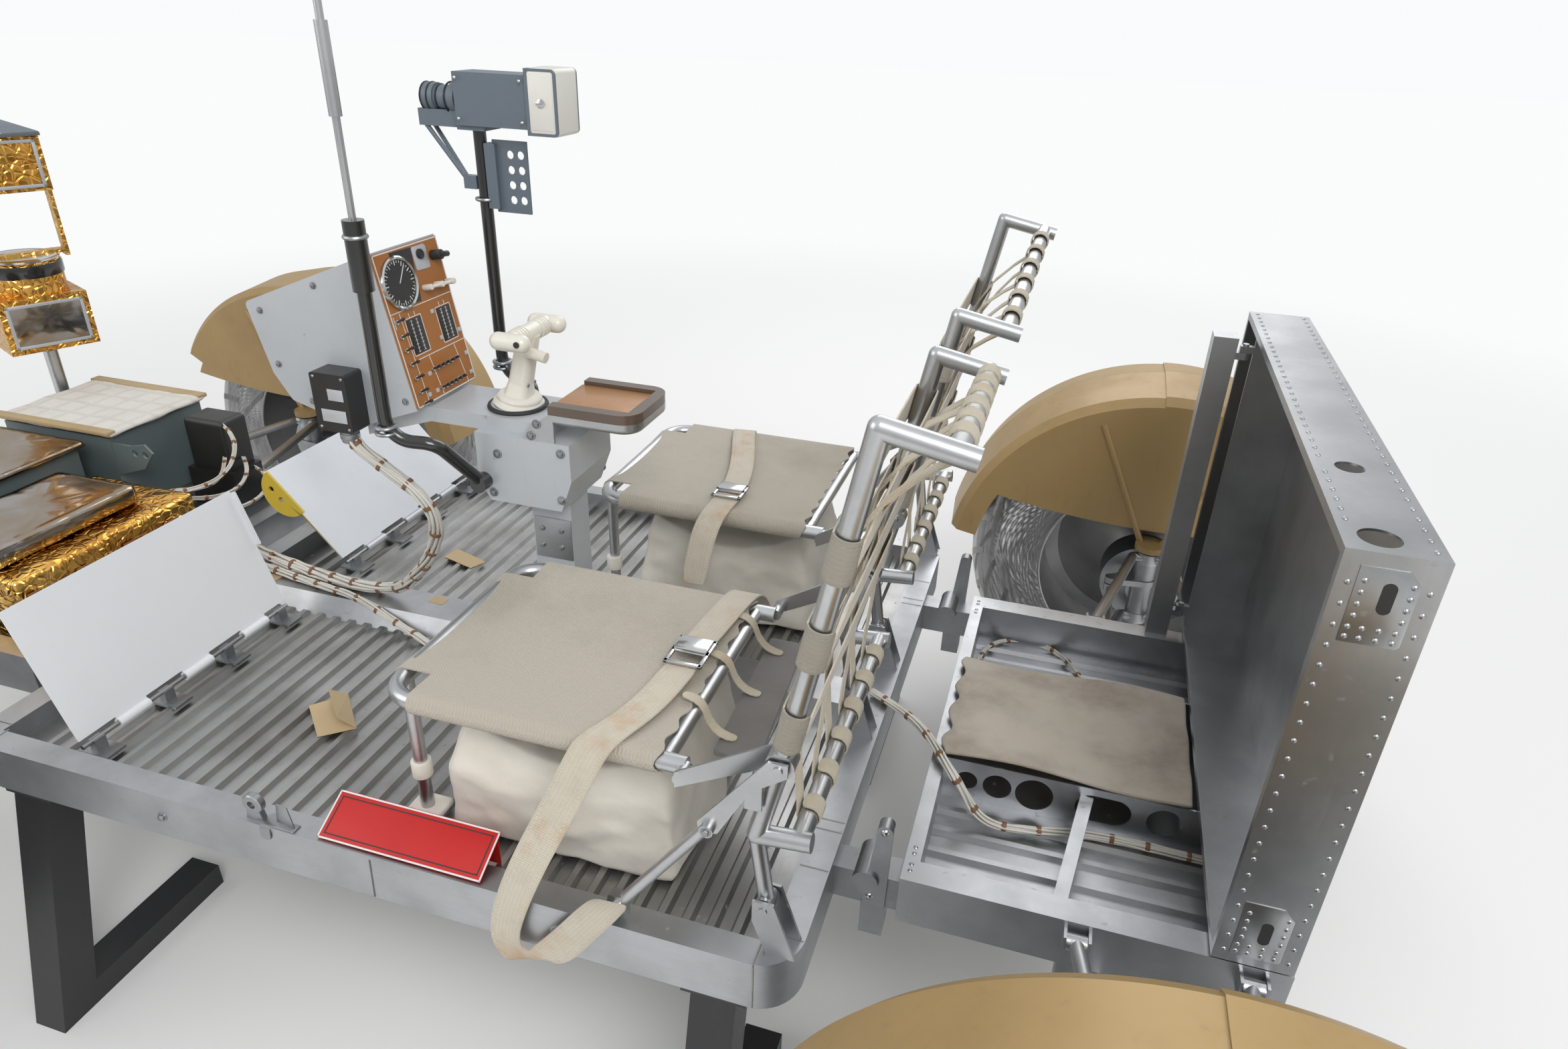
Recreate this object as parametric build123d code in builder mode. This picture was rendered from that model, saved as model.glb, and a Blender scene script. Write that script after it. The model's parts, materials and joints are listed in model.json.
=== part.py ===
"""Open two-seat lunar roving vehicle on its display stands.

X is forward, Y is to the left and Z is up, in millimetres. The origin is on the floor,
half way between the axles.
"""

import math
import os

from build123d import *

os.makedirs("parts", exist_ok=True)

# Running gear
wheelbase = 2286.0
track = 1829.0
wheel_dia = 818.0
tyre_width = 230.0
rim_radius = 240.0
rim_gauge = 6.0
tyre_wall = 9.0
kingpin_inset = 169.0
kingpin_radius = 16.0
drive_radius = 92.0
drive_length = 78.0
hub_radius = 60.0
running_gap = 6.0
pin_gap = 0.4
seat_gap = 0.3

# Main frame
rail_top = 520.0
frame_length = 1386.0
frame_width = 1200.0
rail_width = 40.0
cross_width = 46.0
rail_height = 82.0
frame_corner = 60.0
beam_crest = 38.0
beam_foot = 64.0
beam_keel = 35.0
beam_drop = 5.0
floor_drop = 40.0
floor_gauge = 2.5
bead_pitch = 36.0
bead_width = 20.0
bead_height = 8.0

# Folding end frames
end_gap = 96.0
end_width = 800.0
end_rail = 40.0
front_overhang = 277.0
rear_overhang = 157.0
flange_width = 22.0
hinge_inset = 29.0
lever_foot = 17.0
lever_head = 11.0
lever_base_z = 445.0
lever_top_z = 602.0
aft_bead_pitch = 48.0
web_gauge = 3.0
web_left_y = 120.0
web_right_y = -161.0
web_hole_z = 482.0

# Suspension and steering
arm_span = 110.0
arm_close = 34.0
arm_radius = 11.0
upper_arm_z = 500.0
lower_arm_inner_z = 392.0
lower_arm_outer_z = 345.0
arm_boss = 18.0
cheek_gauge = 4.0
steer_arm_length = 72.0
tie_rod_radius = 7.0
tie_rod_z = 420.0
tie_rod_inner_y = 150.0

# Fenders
fender_radius = 462.0
fender_inner_edge = 162.0
fender_outer_edge = 126.0
fender_gauge = 3.5
fender_skirt = 62.0
fender_wall_low = 560.0
fender_wall_drop = 34.0
fender_inner_end = 10.0
fender_joint = 92.0
fender_outer_end = 148.0
fender_lap = 6.0

# Seats
pan_tube = 12.5
pan_set_back = 111.0
pan_length = 470.0
pan_inner_y = 132.0
pan_rail_inset = 70.0
pan_top = 755.0
pan_corner = 45.0
cloth_gauge = 4.0
leg_radius = 10.0
leg_inset_x = 28.0
leg_inset_y = 62.0
knee_reach = 13.0
knee_z = 824.0
back_rail_inset = 40.0
back_inner_y = 103.0
back_lean = 10.9
back_outer_rise = 433.0
back_inner_rise = 364.0
back_tube = 12.5
stub_length = 98.0
foot_inset = 49.0
foot_z = 593.0
elbow_reach = 16.0
brace_reach = 204.0
brace_radius = 8.0
clevis_reach = 72.0
clevis_z = 712.0
elbow_z = 703.0
lower_stub = 70.0
lug_gauge = 4.0
bolt_radius = 6.0
strap_count = 7
strap_width = 26.0
strap_gauge = 3.0

# Footrests
footrest_inset = 188.0
footrest_z = 510.0
footrest_inner_y = 90.0
footrest_rail_inset = 55.0
footrest_length = 237.0
footrest_gauge = 3.0
left_footrest_rise = 72.6
right_footrest_rise = 47.2
hinge_radius = 6.0
footrest_knuckles = (0.12, 0.42, 0.72)
latch_low = 135.0
latch_high = 245.0
latch_back = 12.0
latch_reach = 46.0
latch_gauge = 4.0
latch_hole = 7.0

# Control post, console and handholds
post_depth = 76.0
post_x = -71.0
housing_half = 75.0
tray_half = 61.0
tray_top = 970.0
tray_depth = 26.0
console_half = 88.0
console_corner = 10.0
panel_gauge = 4.0
armrest_top = 1010.0
armrest_rim = 20.0
handle_rise = 133.0
grip_radius = 15.0
grip_half = 58.0
grip_ribs = 4
handhold_x = 130.0
handhold_y = 176.0
handhold_radius = 11.0
sleeve_radius = 16.0
sleeve_base = 1196.0
sleeve_top = 1300.0
mast_radius = 5.5
mast_top = 1770.0
camera_base = 1399.0
lens_z = 1438.0

# Equipment on the front frame
deck_gauge = 3.0
tv_reach = 32.0
tv_y = -300.0
tv_post_radius = 15.0
tv_base_z = 820.0
tv_tilt_z = 1195.0
tv_yaw = -24.0

# Tool pallet
pallet_front_gap = 103.0
pallet_depth = 100.0
pallet_left_y = 404.0
pallet_right_y = -545.0
pallet_post_y = -404.0
pallet_lip = 12.0
pallet_base = 526.0
pallet_top = 1128.0
pallet_skin = 3.0
pallet_hinge_gap = 117.0
pallet_hinge_y = -400.0
pallet_lugs = (572.0, 1092.0)
pallet_eye = 8.0
pallet_pin = 5.0

# Display stands
stand_inset = 108.0
stand_post = 64.0
stand_spread = 90.0

# Values that follow from the sizes above
axle_x = wheelbase / 2
axle_z = wheel_dia / 2
wheel_y = track / 2
frame_x = frame_length / 2
frame_y = frame_width / 2
rail_base = rail_top - rail_height
floor_z = rail_top - floor_drop
bead_top = floor_z + bead_height
beam_top = rail_top - beam_drop
kingpin_y = wheel_y - kingpin_inset
tyre_inner_y = wheel_y - tyre_width / 2
front_x = frame_x + end_gap
rear_x = -front_x
front_end = axle_x + front_overhang
rear_end = -axle_x - rear_overhang
end_y = end_width / 2
foot_x = foot_inset - frame_x
knee_x = foot_x - knee_reach
elbow_x = foot_x + elbow_reach
pan_rear_x = foot_x + pan_set_back
pan_front_x = pan_rear_x + pan_length
pan_outer_y = frame_y - pan_rail_inset
back_outer_y = frame_y - back_rail_inset
footrest_x = frame_x - footrest_inset
footrest_outer_y = frame_y - footrest_rail_inset
tv_x = front_end + tv_reach
pallet_front_x = rear_end + pallet_front_gap
pallet_hinge_x = rear_end + pallet_hinge_gap
stand_x = frame_x - stand_inset
aft_deck_top = rail_base + deck_gauge
tv_axis = Axis((tv_x, tv_y, 0), (0, 0, 1))
back_direction = Vector(-math.sin(math.radians(back_lean)), 0, math.cos(math.radians(back_lean)))
stub_direction = Vector(-math.cos(math.radians(back_lean)), 0, -math.sin(math.radians(back_lean)))

# Corner of the vehicle: name, forward or rearward, left or right
corners = (
    ("front_left", 1, 1),
    ("front_right", 1, -1),
    ("rear_left", -1, 1),
    ("rear_right", -1, -1),
)
# Side of the vehicle: name, left or right
sides = (("left", 1), ("right", -1))


def block(x, y, z, mode=Mode.ADD):
    """Box between two limits on each axis, in the part that is being built."""
    with Locations(((x[0] + x[1]) / 2, (y[0] + y[1]) / 2, (z[0] + z[1]) / 2)):
        Box(abs(x[1] - x[0]), abs(y[1] - y[0]), abs(z[1] - z[0]), mode=mode)


def rod(start, end, radius, mode=Mode.ADD):
    """Round bar from start to end."""
    run = Vector(*end) - Vector(*start)
    with BuildSketch(Plane(origin=start, z_dir=run)) as section:
        Circle(radius)
    extrude(section.sketch, amount=run.length, mode=mode)


def bent_rod(points, radius, bends, mode=Mode.ADD):
    """Round bar along straight runs joined by arcs."""
    with BuildLine() as route:
        FilletPolyline(*points, radius=bends)
    start = route.line @ 0
    with BuildSketch(Plane(origin=start, z_dir=route.line % 0)) as section:
        Circle(radius)
    sweep(section.sketch, path=route.line, mode=mode)


def side_plate(points, y, gauge, mode=Mode.ADD):
    """Flat plate from an outline of (x, z) points, its faces at y and y + gauge."""
    plane = Plane(origin=(0, y + gauge, 0), x_dir=(1, 0, 0), z_dir=(0, -1, 0))
    with BuildSketch(plane) as outline:
        with BuildLine():
            Polyline(*points, close=True)
        make_face()
    extrude(outline.sketch, amount=gauge, mode=mode)


def finish(part, name):
    """Label a finished piece and write it to its own file."""
    part.label = name
    export_step(part, f"parts/{name}.step")


def both(value, side):
    """Pair of limits on the given side of the centreline, low value first."""
    low, high = value
    return (low, high) if side > 0 else (-high, -low)


# Main frame: welded ring of box tube, centre beam and cross bars under the floor
with BuildPart() as centre_chassis:
    with BuildSketch(Plane.XY.offset(rail_top)) as ring:
        RectangleRounded(frame_length, frame_width, frame_corner)
        Rectangle(frame_length - 2 * cross_width, frame_width - 2 * rail_width, mode=Mode.SUBTRACT)
    extrude(amount=-rail_height)
    beam_x = frame_x - cross_width + 1
    with BuildSketch(Plane(origin=(-beam_x, 0, 0), x_dir=(0, 1, 0), z_dir=(1, 0, 0))) as beam:
        with BuildLine():
            Polyline(
                (-beam_crest, beam_top),
                (beam_crest, beam_top),
                (beam_foot, floor_z),
                (beam_foot, floor_z - floor_gauge),
                (beam_keel, floor_z - floor_gauge),
                (beam_keel, rail_base),
                (-beam_keel, rail_base),
                (-beam_keel, floor_z - floor_gauge),
                (-beam_foot, floor_z - floor_gauge),
                (-beam_foot, floor_z),
                close=True,
            )
        make_face()
    extrude(beam.sketch, amount=2 * beam_x)
    for bar_x in (foot_x + 324, foot_x + 704, footrest_x - 65):
        block(
            (bar_x - 20, bar_x + 20),
            (-frame_y + rail_width, frame_y - rail_width),
            (rail_base, floor_z - floor_gauge),
        )
    for side in (-1, 1):
        for upright_y in (back_outer_y, back_inner_y):
            for cheek in (-1, 1):
                cheek_y = side * upright_y + cheek * (back_tube + 2 + lug_gauge / 2)
                side_plate(
                    (
                        (foot_x - 44, rail_top - 0.5),
                        (foot_x - 6, rail_top - 0.5),
                        (foot_x + 14, foot_z - 20),
                        (foot_x + 14, foot_z + 14),
                        (foot_x - 14, foot_z + 14),
                    ),
                    cheek_y - lug_gauge / 2,
                    lug_gauge,
                )
            rod(
                (foot_x, side * upright_y - 20, foot_z),
                (foot_x, side * upright_y + 20, foot_z),
                bolt_radius,
            )
finish(centre_chassis.part, "centre_chassis")

# Beaded floor panels, one each side of the centre beam
with BuildPart() as floor_panels:
    start_x = -frame_x + cross_width
    end_x = frame_x - cross_width
    bead_count = int((end_x - start_x - bead_pitch) // bead_pitch)
    first_bead = -bead_pitch * (bead_count - 1) / 2
    top_line = [(start_x, floor_z)]
    for index in range(bead_count):
        bead_x = first_bead + index * bead_pitch
        top_line += [
            (bead_x - bead_width / 2, floor_z),
            (bead_x - bead_width / 4, bead_top),
            (bead_x + bead_width / 4, bead_top),
            (bead_x + bead_width / 2, floor_z),
        ]
    top_line.append((end_x, floor_z))
    outline = top_line + [(end_x, floor_z - floor_gauge), (start_x, floor_z - floor_gauge)]
    for name, side in sides:
        low, high = both((beam_foot, frame_y - rail_width), side)
        side_plate(outline, low, high - low)
finish(floor_panels.part, "floor_panels")


def end_frame(near_x, far_x, axle, bars, deck_top):
    """Ladder frame of box rails and cross bars, given as (low x, high x), with a sheet deck between them."""
    low_x, high_x = min(near_x, far_x), max(near_x, far_x)
    for side in (-1, 1):
        block((low_x, high_x), both((end_y - end_rail, end_y), side), (rail_base, rail_top))
    for bar in bars:
        block(bar, (-end_y + end_rail, end_y - end_rail), (rail_base, rail_top))
    block((low_x, high_x), (-end_y + 1, end_y - 1), (deck_top - deck_gauge, deck_top))
    for side in (-1, 1):
        for span in (-1, 1):
            pivot_x = axle + span * arm_span
            block(
                (pivot_x - arm_boss, pivot_x + arm_boss),
                both((end_y - 24, end_y), side),
                (lower_arm_inner_z - 16, rail_base),
            )
            for pivot_z in (upper_arm_z, lower_arm_inner_z):
                for cheek in (-1, 1):
                    cheek_x = pivot_x + cheek * (arm_boss - cheek_gauge / 2)
                    block(
                        (cheek_x - cheek_gauge / 2, cheek_x + cheek_gauge / 2),
                        both((end_y, end_y + 24), side),
                        (pivot_z - 14, pivot_z + 14),
                    )


with BuildPart() as forward_chassis:
    forward_bars = (
        (front_x, front_x + end_rail),
        (axle_x - end_rail / 2, axle_x + end_rail / 2),
        (front_end - end_rail, front_end),
    )
    end_frame(front_x, front_end, axle_x, forward_bars, floor_z)
finish(forward_chassis.part, "forward_chassis")

# Hole in the aft webs: centre and half length from the rear axle, half height
web_holes = (
    (294.0, 17.0, 17.0),
    (245.0, 23.0, 23.0),
    (186.0, 30.0, 30.0),
    (79.0, 43.0, 25.0),
    (-14.0, 27.0, 27.0),
)
with BuildPart() as aft_chassis:
    aft_bars = ((rear_x - flange_width, rear_x), (rear_end, rear_end + end_rail))
    end_frame(rear_x, rear_end, -axle_x, aft_bars, aft_deck_top)
    for web_y in (web_left_y, web_right_y):
        web_plane = Plane(origin=(-axle_x, web_y, 0), x_dir=(1, 0, 0), z_dir=(0, -1, 0))
        with BuildSketch(web_plane) as web:
            with BuildLine():
                Polyline(
                    (rear_end + end_rail + axle_x - 1, aft_deck_top - 1),
                    (rear_x - flange_width + axle_x + 1, aft_deck_top - 1),
                    (rear_x - flange_width + axle_x + 1, rail_top),
                    (rear_end + end_rail + axle_x - 1, rail_top),
                    close=True,
                )
            make_face()
            for centre, half_length, half_height in web_holes:
                with Locations((centre, web_hole_z)):
                    if half_length > half_height:
                        SlotOverall(2 * half_length, 2 * half_height, mode=Mode.SUBTRACT)
                    else:
                        Circle(half_height, mode=Mode.SUBTRACT)
        extrude(web.sketch, amount=-web_gauge)
    for bead_y in (160.0, 160.0 + aft_bead_pitch, 160.0 + 2 * aft_bead_pitch, -288.0, -288.0 - aft_bead_pitch):
        bead_plane = Plane(
            origin=(rear_end + end_rail - 1, bead_y, aft_deck_top),
            x_dir=(0, 1, 0),
            z_dir=(1, 0, 0),
        )
        with BuildSketch(bead_plane) as bead:
            with BuildLine():
                Polyline(
                    (-bead_width / 2, -1),
                    (bead_width / 2, -1),
                    (bead_width / 4, bead_height),
                    (-bead_width / 4, bead_height),
                    close=True,
                )
            make_face()
        extrude(bead.sketch, amount=rear_x - flange_width - rear_end - end_rail + 2)
    bar_run = Vector(-axle_x + 70, web_right_y + 1, 0) - Vector(-axle_x + 137, end_y - end_rail + 1, 0)
    bar_start = (-axle_x + 137, end_y - end_rail + 1, web_hole_z + 12)
    with BuildSketch(Plane(origin=bar_start, x_dir=(0, 0, 1), z_dir=bar_run)) as square_bar:
        Rectangle(20, 20)
    extrude(square_bar.sketch, amount=bar_run.length)
    block(
        (pallet_hinge_x + 17, pallet_hinge_x + 57),
        (pallet_hinge_y - 10, pallet_hinge_y + 30),
        (rail_top - 1, pallet_top - 6),
    )
    for lug_z in pallet_lugs:
        block(
            (pallet_hinge_x, pallet_hinge_x + 18),
            (pallet_hinge_y - pallet_eye, pallet_hinge_y + pallet_eye),
            (lug_z - 12, lug_z),
        )
        rod((pallet_hinge_x, pallet_hinge_y, lug_z - 12), (pallet_hinge_x, pallet_hinge_y, lug_z), pallet_eye)
        rod((pallet_hinge_x, pallet_hinge_y, lug_z - 1), (pallet_hinge_x, pallet_hinge_y, lug_z + 15), pallet_pin)
finish(aft_chassis.part, "aft_chassis")

# Hinge stubs with their latch levers, between the main frame and the end frames
with BuildPart() as chassis_hinges:
    for end in (-1, 1):
        for side in (-1, 1):
            hinge_y = side * (end_y - hinge_inset)
            block(
                sorted((end * frame_x, end * (frame_x + end_gap))),
                (hinge_y - 22, hinge_y + 22),
                (rail_base + 12, rail_top - 14),
            )
            rod(
                (end * (frame_x + end_gap / 2), hinge_y - 34, rail_top - 20),
                (end * (frame_x + end_gap / 2), hinge_y + 34, rail_top - 20),
                19.0,
            )
            lever_x = end * (frame_x + end_gap / 2 + 13)
            head_x = lever_x + end * 9
            lever_y = both((end_y - hinge_inset + 22, end_y - hinge_inset + 28), side)
            side_plate(
                (
                    (lever_x - lever_foot, lever_base_z),
                    (lever_x + lever_foot, lever_base_z),
                    (head_x + lever_head, lever_top_z),
                    (head_x - lever_head, lever_top_z),
                ),
                lever_y[0],
                lever_y[1] - lever_y[0],
            )
            rod(
                (head_x, side * (end_y - hinge_inset + 15), lever_top_z),
                (head_x, side * (end_y - hinge_inset + 35), lever_top_z),
                lever_head,
            )
            block(
                (lever_x - lever_foot, lever_x + lever_foot),
                both((end_y - hinge_inset - 10, end_y - hinge_inset + 28), side),
                (lever_base_z - 48, lever_base_z + 10),
            )
finish(chassis_hinges.part, "chassis_hinges")

# Double wishbones at each wheel
for end_name, end in (("front", 1), ("rear", -1)):
    with BuildPart() as suspension:
        for side in (-1, 1):
            pin_y = side * kingpin_y
            for inner_z, outer_z in (
                (upper_arm_z, upper_arm_z),
                (lower_arm_inner_z, lower_arm_outer_z),
            ):
                for span in (-1, 1):
                    eye_x = end * axle_x + span * arm_span
                    eye_half = arm_boss - cheek_gauge - seat_gap
                    rod(
                        (eye_x - eye_half, side * (end_y + 15), inner_z),
                        (eye_x + eye_half, side * (end_y + 15), inner_z),
                        12.0,
                    )
                    rod(
                        (eye_x, side * (end_y + 15), inner_z),
                        (end * axle_x + span * arm_close, side * (kingpin_y - 12), outer_z),
                        arm_radius,
                    )
                rod(
                    (end * axle_x - arm_close, side * (kingpin_y - 12), outer_z),
                    (end * axle_x + arm_close, side * (kingpin_y - 12), outer_z),
                    arm_radius,
                )
                rod(
                    (end * axle_x, pin_y, outer_z - 13),
                    (end * axle_x, pin_y, outer_z + 13),
                    kingpin_radius + 10,
                )
                rod(
                    (end * axle_x, pin_y, outer_z - 14),
                    (end * axle_x, pin_y, outer_z + 14),
                    kingpin_radius + pin_gap,
                    mode=Mode.SUBTRACT,
                )
    finish(suspension.part, f"{end_name}_suspension")

# Steering gears under the axle cross bars
with BuildPart() as steering_gears:
    for end in (-1, 1):
        gear_x = end * (axle_x - steer_arm_length)
        if end > 0:
            block((gear_x - 40, gear_x + 40), (-90, 90), (rail_base, floor_z - deck_gauge))
        block((gear_x - 16, gear_x + 16), (-170, 170), (rail_base - 5, rail_base))
        rod((gear_x, 0, tie_rod_z - 24), (gear_x, 0, rail_base), 30.0)
finish(steering_gears.part, "steering_gears")

# Steering knuckle with its traction drive, one at each wheel
knuckle_low = lower_arm_outer_z - 20
knuckle_high = upper_arm_z + 20
for corner, end, side in corners:
    with BuildPart() as knuckle:
        pin_x = end * axle_x
        pin_y = side * kingpin_y
        rod((pin_x, pin_y, knuckle_low), (pin_x, pin_y, knuckle_high), kingpin_radius)
        rod(
            (pin_x, pin_y, lower_arm_outer_z + 13 + pin_gap),
            (pin_x, pin_y, upper_arm_z - 13 - pin_gap),
            kingpin_radius + 9,
        )
        rod((pin_x, pin_y, axle_z), (pin_x, pin_y + side * 40, axle_z), 34.0)
        rod(
            (pin_x, pin_y + side * 34, axle_z),
            (pin_x, pin_y + side * (34 + drive_length), axle_z),
            drive_radius,
        )
        rod(
            (pin_x, pin_y + side * (34 + drive_length), axle_z),
            (pin_x, side * (wheel_y + 18), axle_z),
            kingpin_radius,
        )
        arm_x = pin_x - end * steer_arm_length
        arm_y = pin_y - side * 24
        with BuildSketch(Plane.XY.offset(tie_rod_z + 12)) as lever:
            with Locations((pin_x, pin_y)):
                Circle(kingpin_radius + 12)
            with Locations((arm_x, arm_y)):
                Circle(13)
            make_hull()
        extrude(amount=14)
        rod((arm_x, arm_y, tie_rod_z - 12), (arm_x, arm_y, tie_rod_z + 20), 6.0)
    finish(knuckle.part, f"{corner}_knuckle")

# Tie rod from each knuckle's steering arm to the steering gear
for corner, end, side in corners:
    with BuildPart() as tie_rod:
        arm_x = end * (axle_x - steer_arm_length)
        arm_y = side * (kingpin_y - 24)
        rod((arm_x, arm_y, tie_rod_z - 9), (arm_x, arm_y, tie_rod_z + 9), 13.0)
        rod((arm_x, arm_y - side * 9, tie_rod_z), (arm_x, side * tie_rod_inner_y, tie_rod_z), tie_rod_radius)
        rod((arm_x, side * tie_rod_inner_y, tie_rod_z - 9), (arm_x, side * tie_rod_inner_y, tie_rod_z + 9), 12.0)
        rod((arm_x, arm_y, tie_rod_z - 10), (arm_x, arm_y, tie_rod_z + 10), 6.0 + pin_gap, mode=Mode.SUBTRACT)
    finish(tie_rod.part, f"{corner}_tie_rod")

# Wheels: dished hub disc and rim, then the woven tyre's closed band
hub_face = kingpin_inset - 34 - drive_length - running_gap
for corner, end, side in corners:
    axis_line = Axis((end * axle_x, 0, axle_z), (0, side, 0))
    face = Plane(origin=(end * axle_x, 0, axle_z), x_dir=(0, side, 0), z_dir=(-side, 0, 0))
    inner_edge = wheel_y - tyre_width / 2 + 14
    outer_edge = wheel_y + tyre_width / 2 - 14
    hub_y = wheel_y - hub_face
    with BuildPart() as wheel:
        with BuildSketch(face) as disc:
            with BuildLine():
                Polyline(
                    (hub_y, kingpin_radius + pin_gap),
                    (hub_y, hub_radius),
                    (hub_y + 18, hub_radius),
                    (outer_edge - 34, rim_radius - 40),
                    (outer_edge - 26, rim_radius - rim_gauge),
                    (inner_edge, rim_radius - rim_gauge),
                    (inner_edge, rim_radius),
                    (outer_edge, rim_radius),
                    (outer_edge, rim_radius - rim_gauge),
                    (outer_edge - 18, rim_radius - rim_gauge),
                    (outer_edge - 26, rim_radius - 42),
                    (hub_y + 30, hub_radius - 6),
                    (hub_y + 30, kingpin_radius + pin_gap),
                    close=True,
                )
            make_face()
        revolve(axis=axis_line)
    finish(wheel.part, f"{corner}_wheel")

    tread = wheel_dia / 2
    with BuildPart() as tyre:
        with BuildSketch(face) as band:
            with BuildLine():
                outer_arc = ThreePointArc(
                    (wheel_y - tyre_width / 2, tread - 52),
                    (wheel_y, tread),
                    (wheel_y + tyre_width / 2, tread - 52),
                )
                Line(outer_arc @ 1, (outer_edge, rim_radius + seat_gap))
                Line((outer_edge, rim_radius + seat_gap), (outer_edge - tyre_wall, rim_radius + seat_gap))
                Line(
                    (outer_edge - tyre_wall, rim_radius + seat_gap),
                    (wheel_y + tyre_width / 2 - tyre_wall, tread - 56),
                )
                inner_arc = ThreePointArc(
                    (wheel_y + tyre_width / 2 - tyre_wall, tread - 56),
                    (wheel_y, tread - tyre_wall),
                    (wheel_y - tyre_width / 2 + tyre_wall, tread - 56),
                )
                Line(inner_arc @ 1, (inner_edge + tyre_wall, rim_radius + seat_gap))
                Line((inner_edge + tyre_wall, rim_radius + seat_gap), (inner_edge, rim_radius + seat_gap))
                Line((inner_edge, rim_radius + seat_gap), outer_arc @ 0)
            make_face()
        revolve(axis=axis_line)
    finish(tyre.part, f"{corner}_tyre")

# Fenders: a main shell over the wheel and an extension lapped over its outer end
for corner, end, side in corners:
    inner_y = wheel_y - fender_inner_edge
    outer_y = wheel_y + fender_outer_edge

    def shell(radius, start, stop, centre_x=end * axle_x, end=end, side=side):
        """Channel section swept about the wheel's axis, angles up from the inboard level."""
        angle = math.radians(start)
        reach = Vector(-end * math.cos(angle), 0, math.sin(angle))
        plane = Plane(
            origin=(centre_x, 0, axle_z),
            x_dir=(0, side, 0),
            z_dir=Vector(0, side, 0).cross(reach),
        )
        crown = radius + 12.0
        with BuildSketch(plane) as section:
            with BuildLine():
                Polyline(
                    (inner_y, radius - fender_skirt),
                    (inner_y, radius - 16),
                    (inner_y + 20, radius),
                    (wheel_y, crown),
                    (outer_y - 20, radius),
                    (outer_y, radius - 16),
                    (outer_y, radius - fender_skirt),
                    (outer_y - fender_gauge, radius - fender_skirt),
                    (outer_y - fender_gauge, radius - 17.5),
                    (outer_y - 21.5, radius - fender_gauge),
                    (wheel_y, crown - fender_gauge),
                    (inner_y + 21.5, radius - fender_gauge),
                    (inner_y + fender_gauge, radius - 17.5),
                    (inner_y + fender_gauge, radius - fender_skirt),
                    close=True,
                )
            make_face()
        turn = Axis((centre_x, 0, axle_z), Vector(0, end, 0))
        revolve(section.sketch, axis=turn, revolution_arc=stop - start)

    with BuildPart() as fender:
        shell(fender_radius, fender_inner_end, fender_joint)
        shell(fender_radius + fender_gauge, fender_joint - fender_lap, fender_outer_end)
        wall_plane = Plane(
            origin=(end * axle_x, side * inner_y, 0),
            x_dir=(1, 0, 0),
            z_dir=(0, -1, 0),
        )
        wall_radius = fender_radius - fender_skirt + 6
        wall_rise = fender_wall_low + fender_wall_drop - axle_z
        wall_reach = math.sqrt(wall_radius**2 - wall_rise**2)
        with BuildSketch(wall_plane) as inner_wall:
            with BuildLine():
                low_edge = ThreePointArc(
                    (-wall_reach, axle_z + wall_rise),
                    (0, fender_wall_low),
                    (wall_reach, axle_z + wall_rise),
                )
                ThreePointArc(low_edge @ 0, (0, axle_z + wall_radius), low_edge @ 1)
            make_face()
        extrude(inner_wall.sketch, amount=-side * fender_gauge)
        for span in (-1, 1):
            rod(
                (end * axle_x + span * 20, side * (kingpin_y + 8), knuckle_high + 4),
                (end * axle_x + span * 150, side * (inner_y + 1), axle_z + fender_radius - 72),
                7.0,
            )
        rod(
            (end * axle_x, side * kingpin_y, knuckle_high),
            (end * axle_x, side * kingpin_y, knuckle_high + 14),
            34.0,
        )
    finish(fender.part, f"{corner}_fender")

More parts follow.
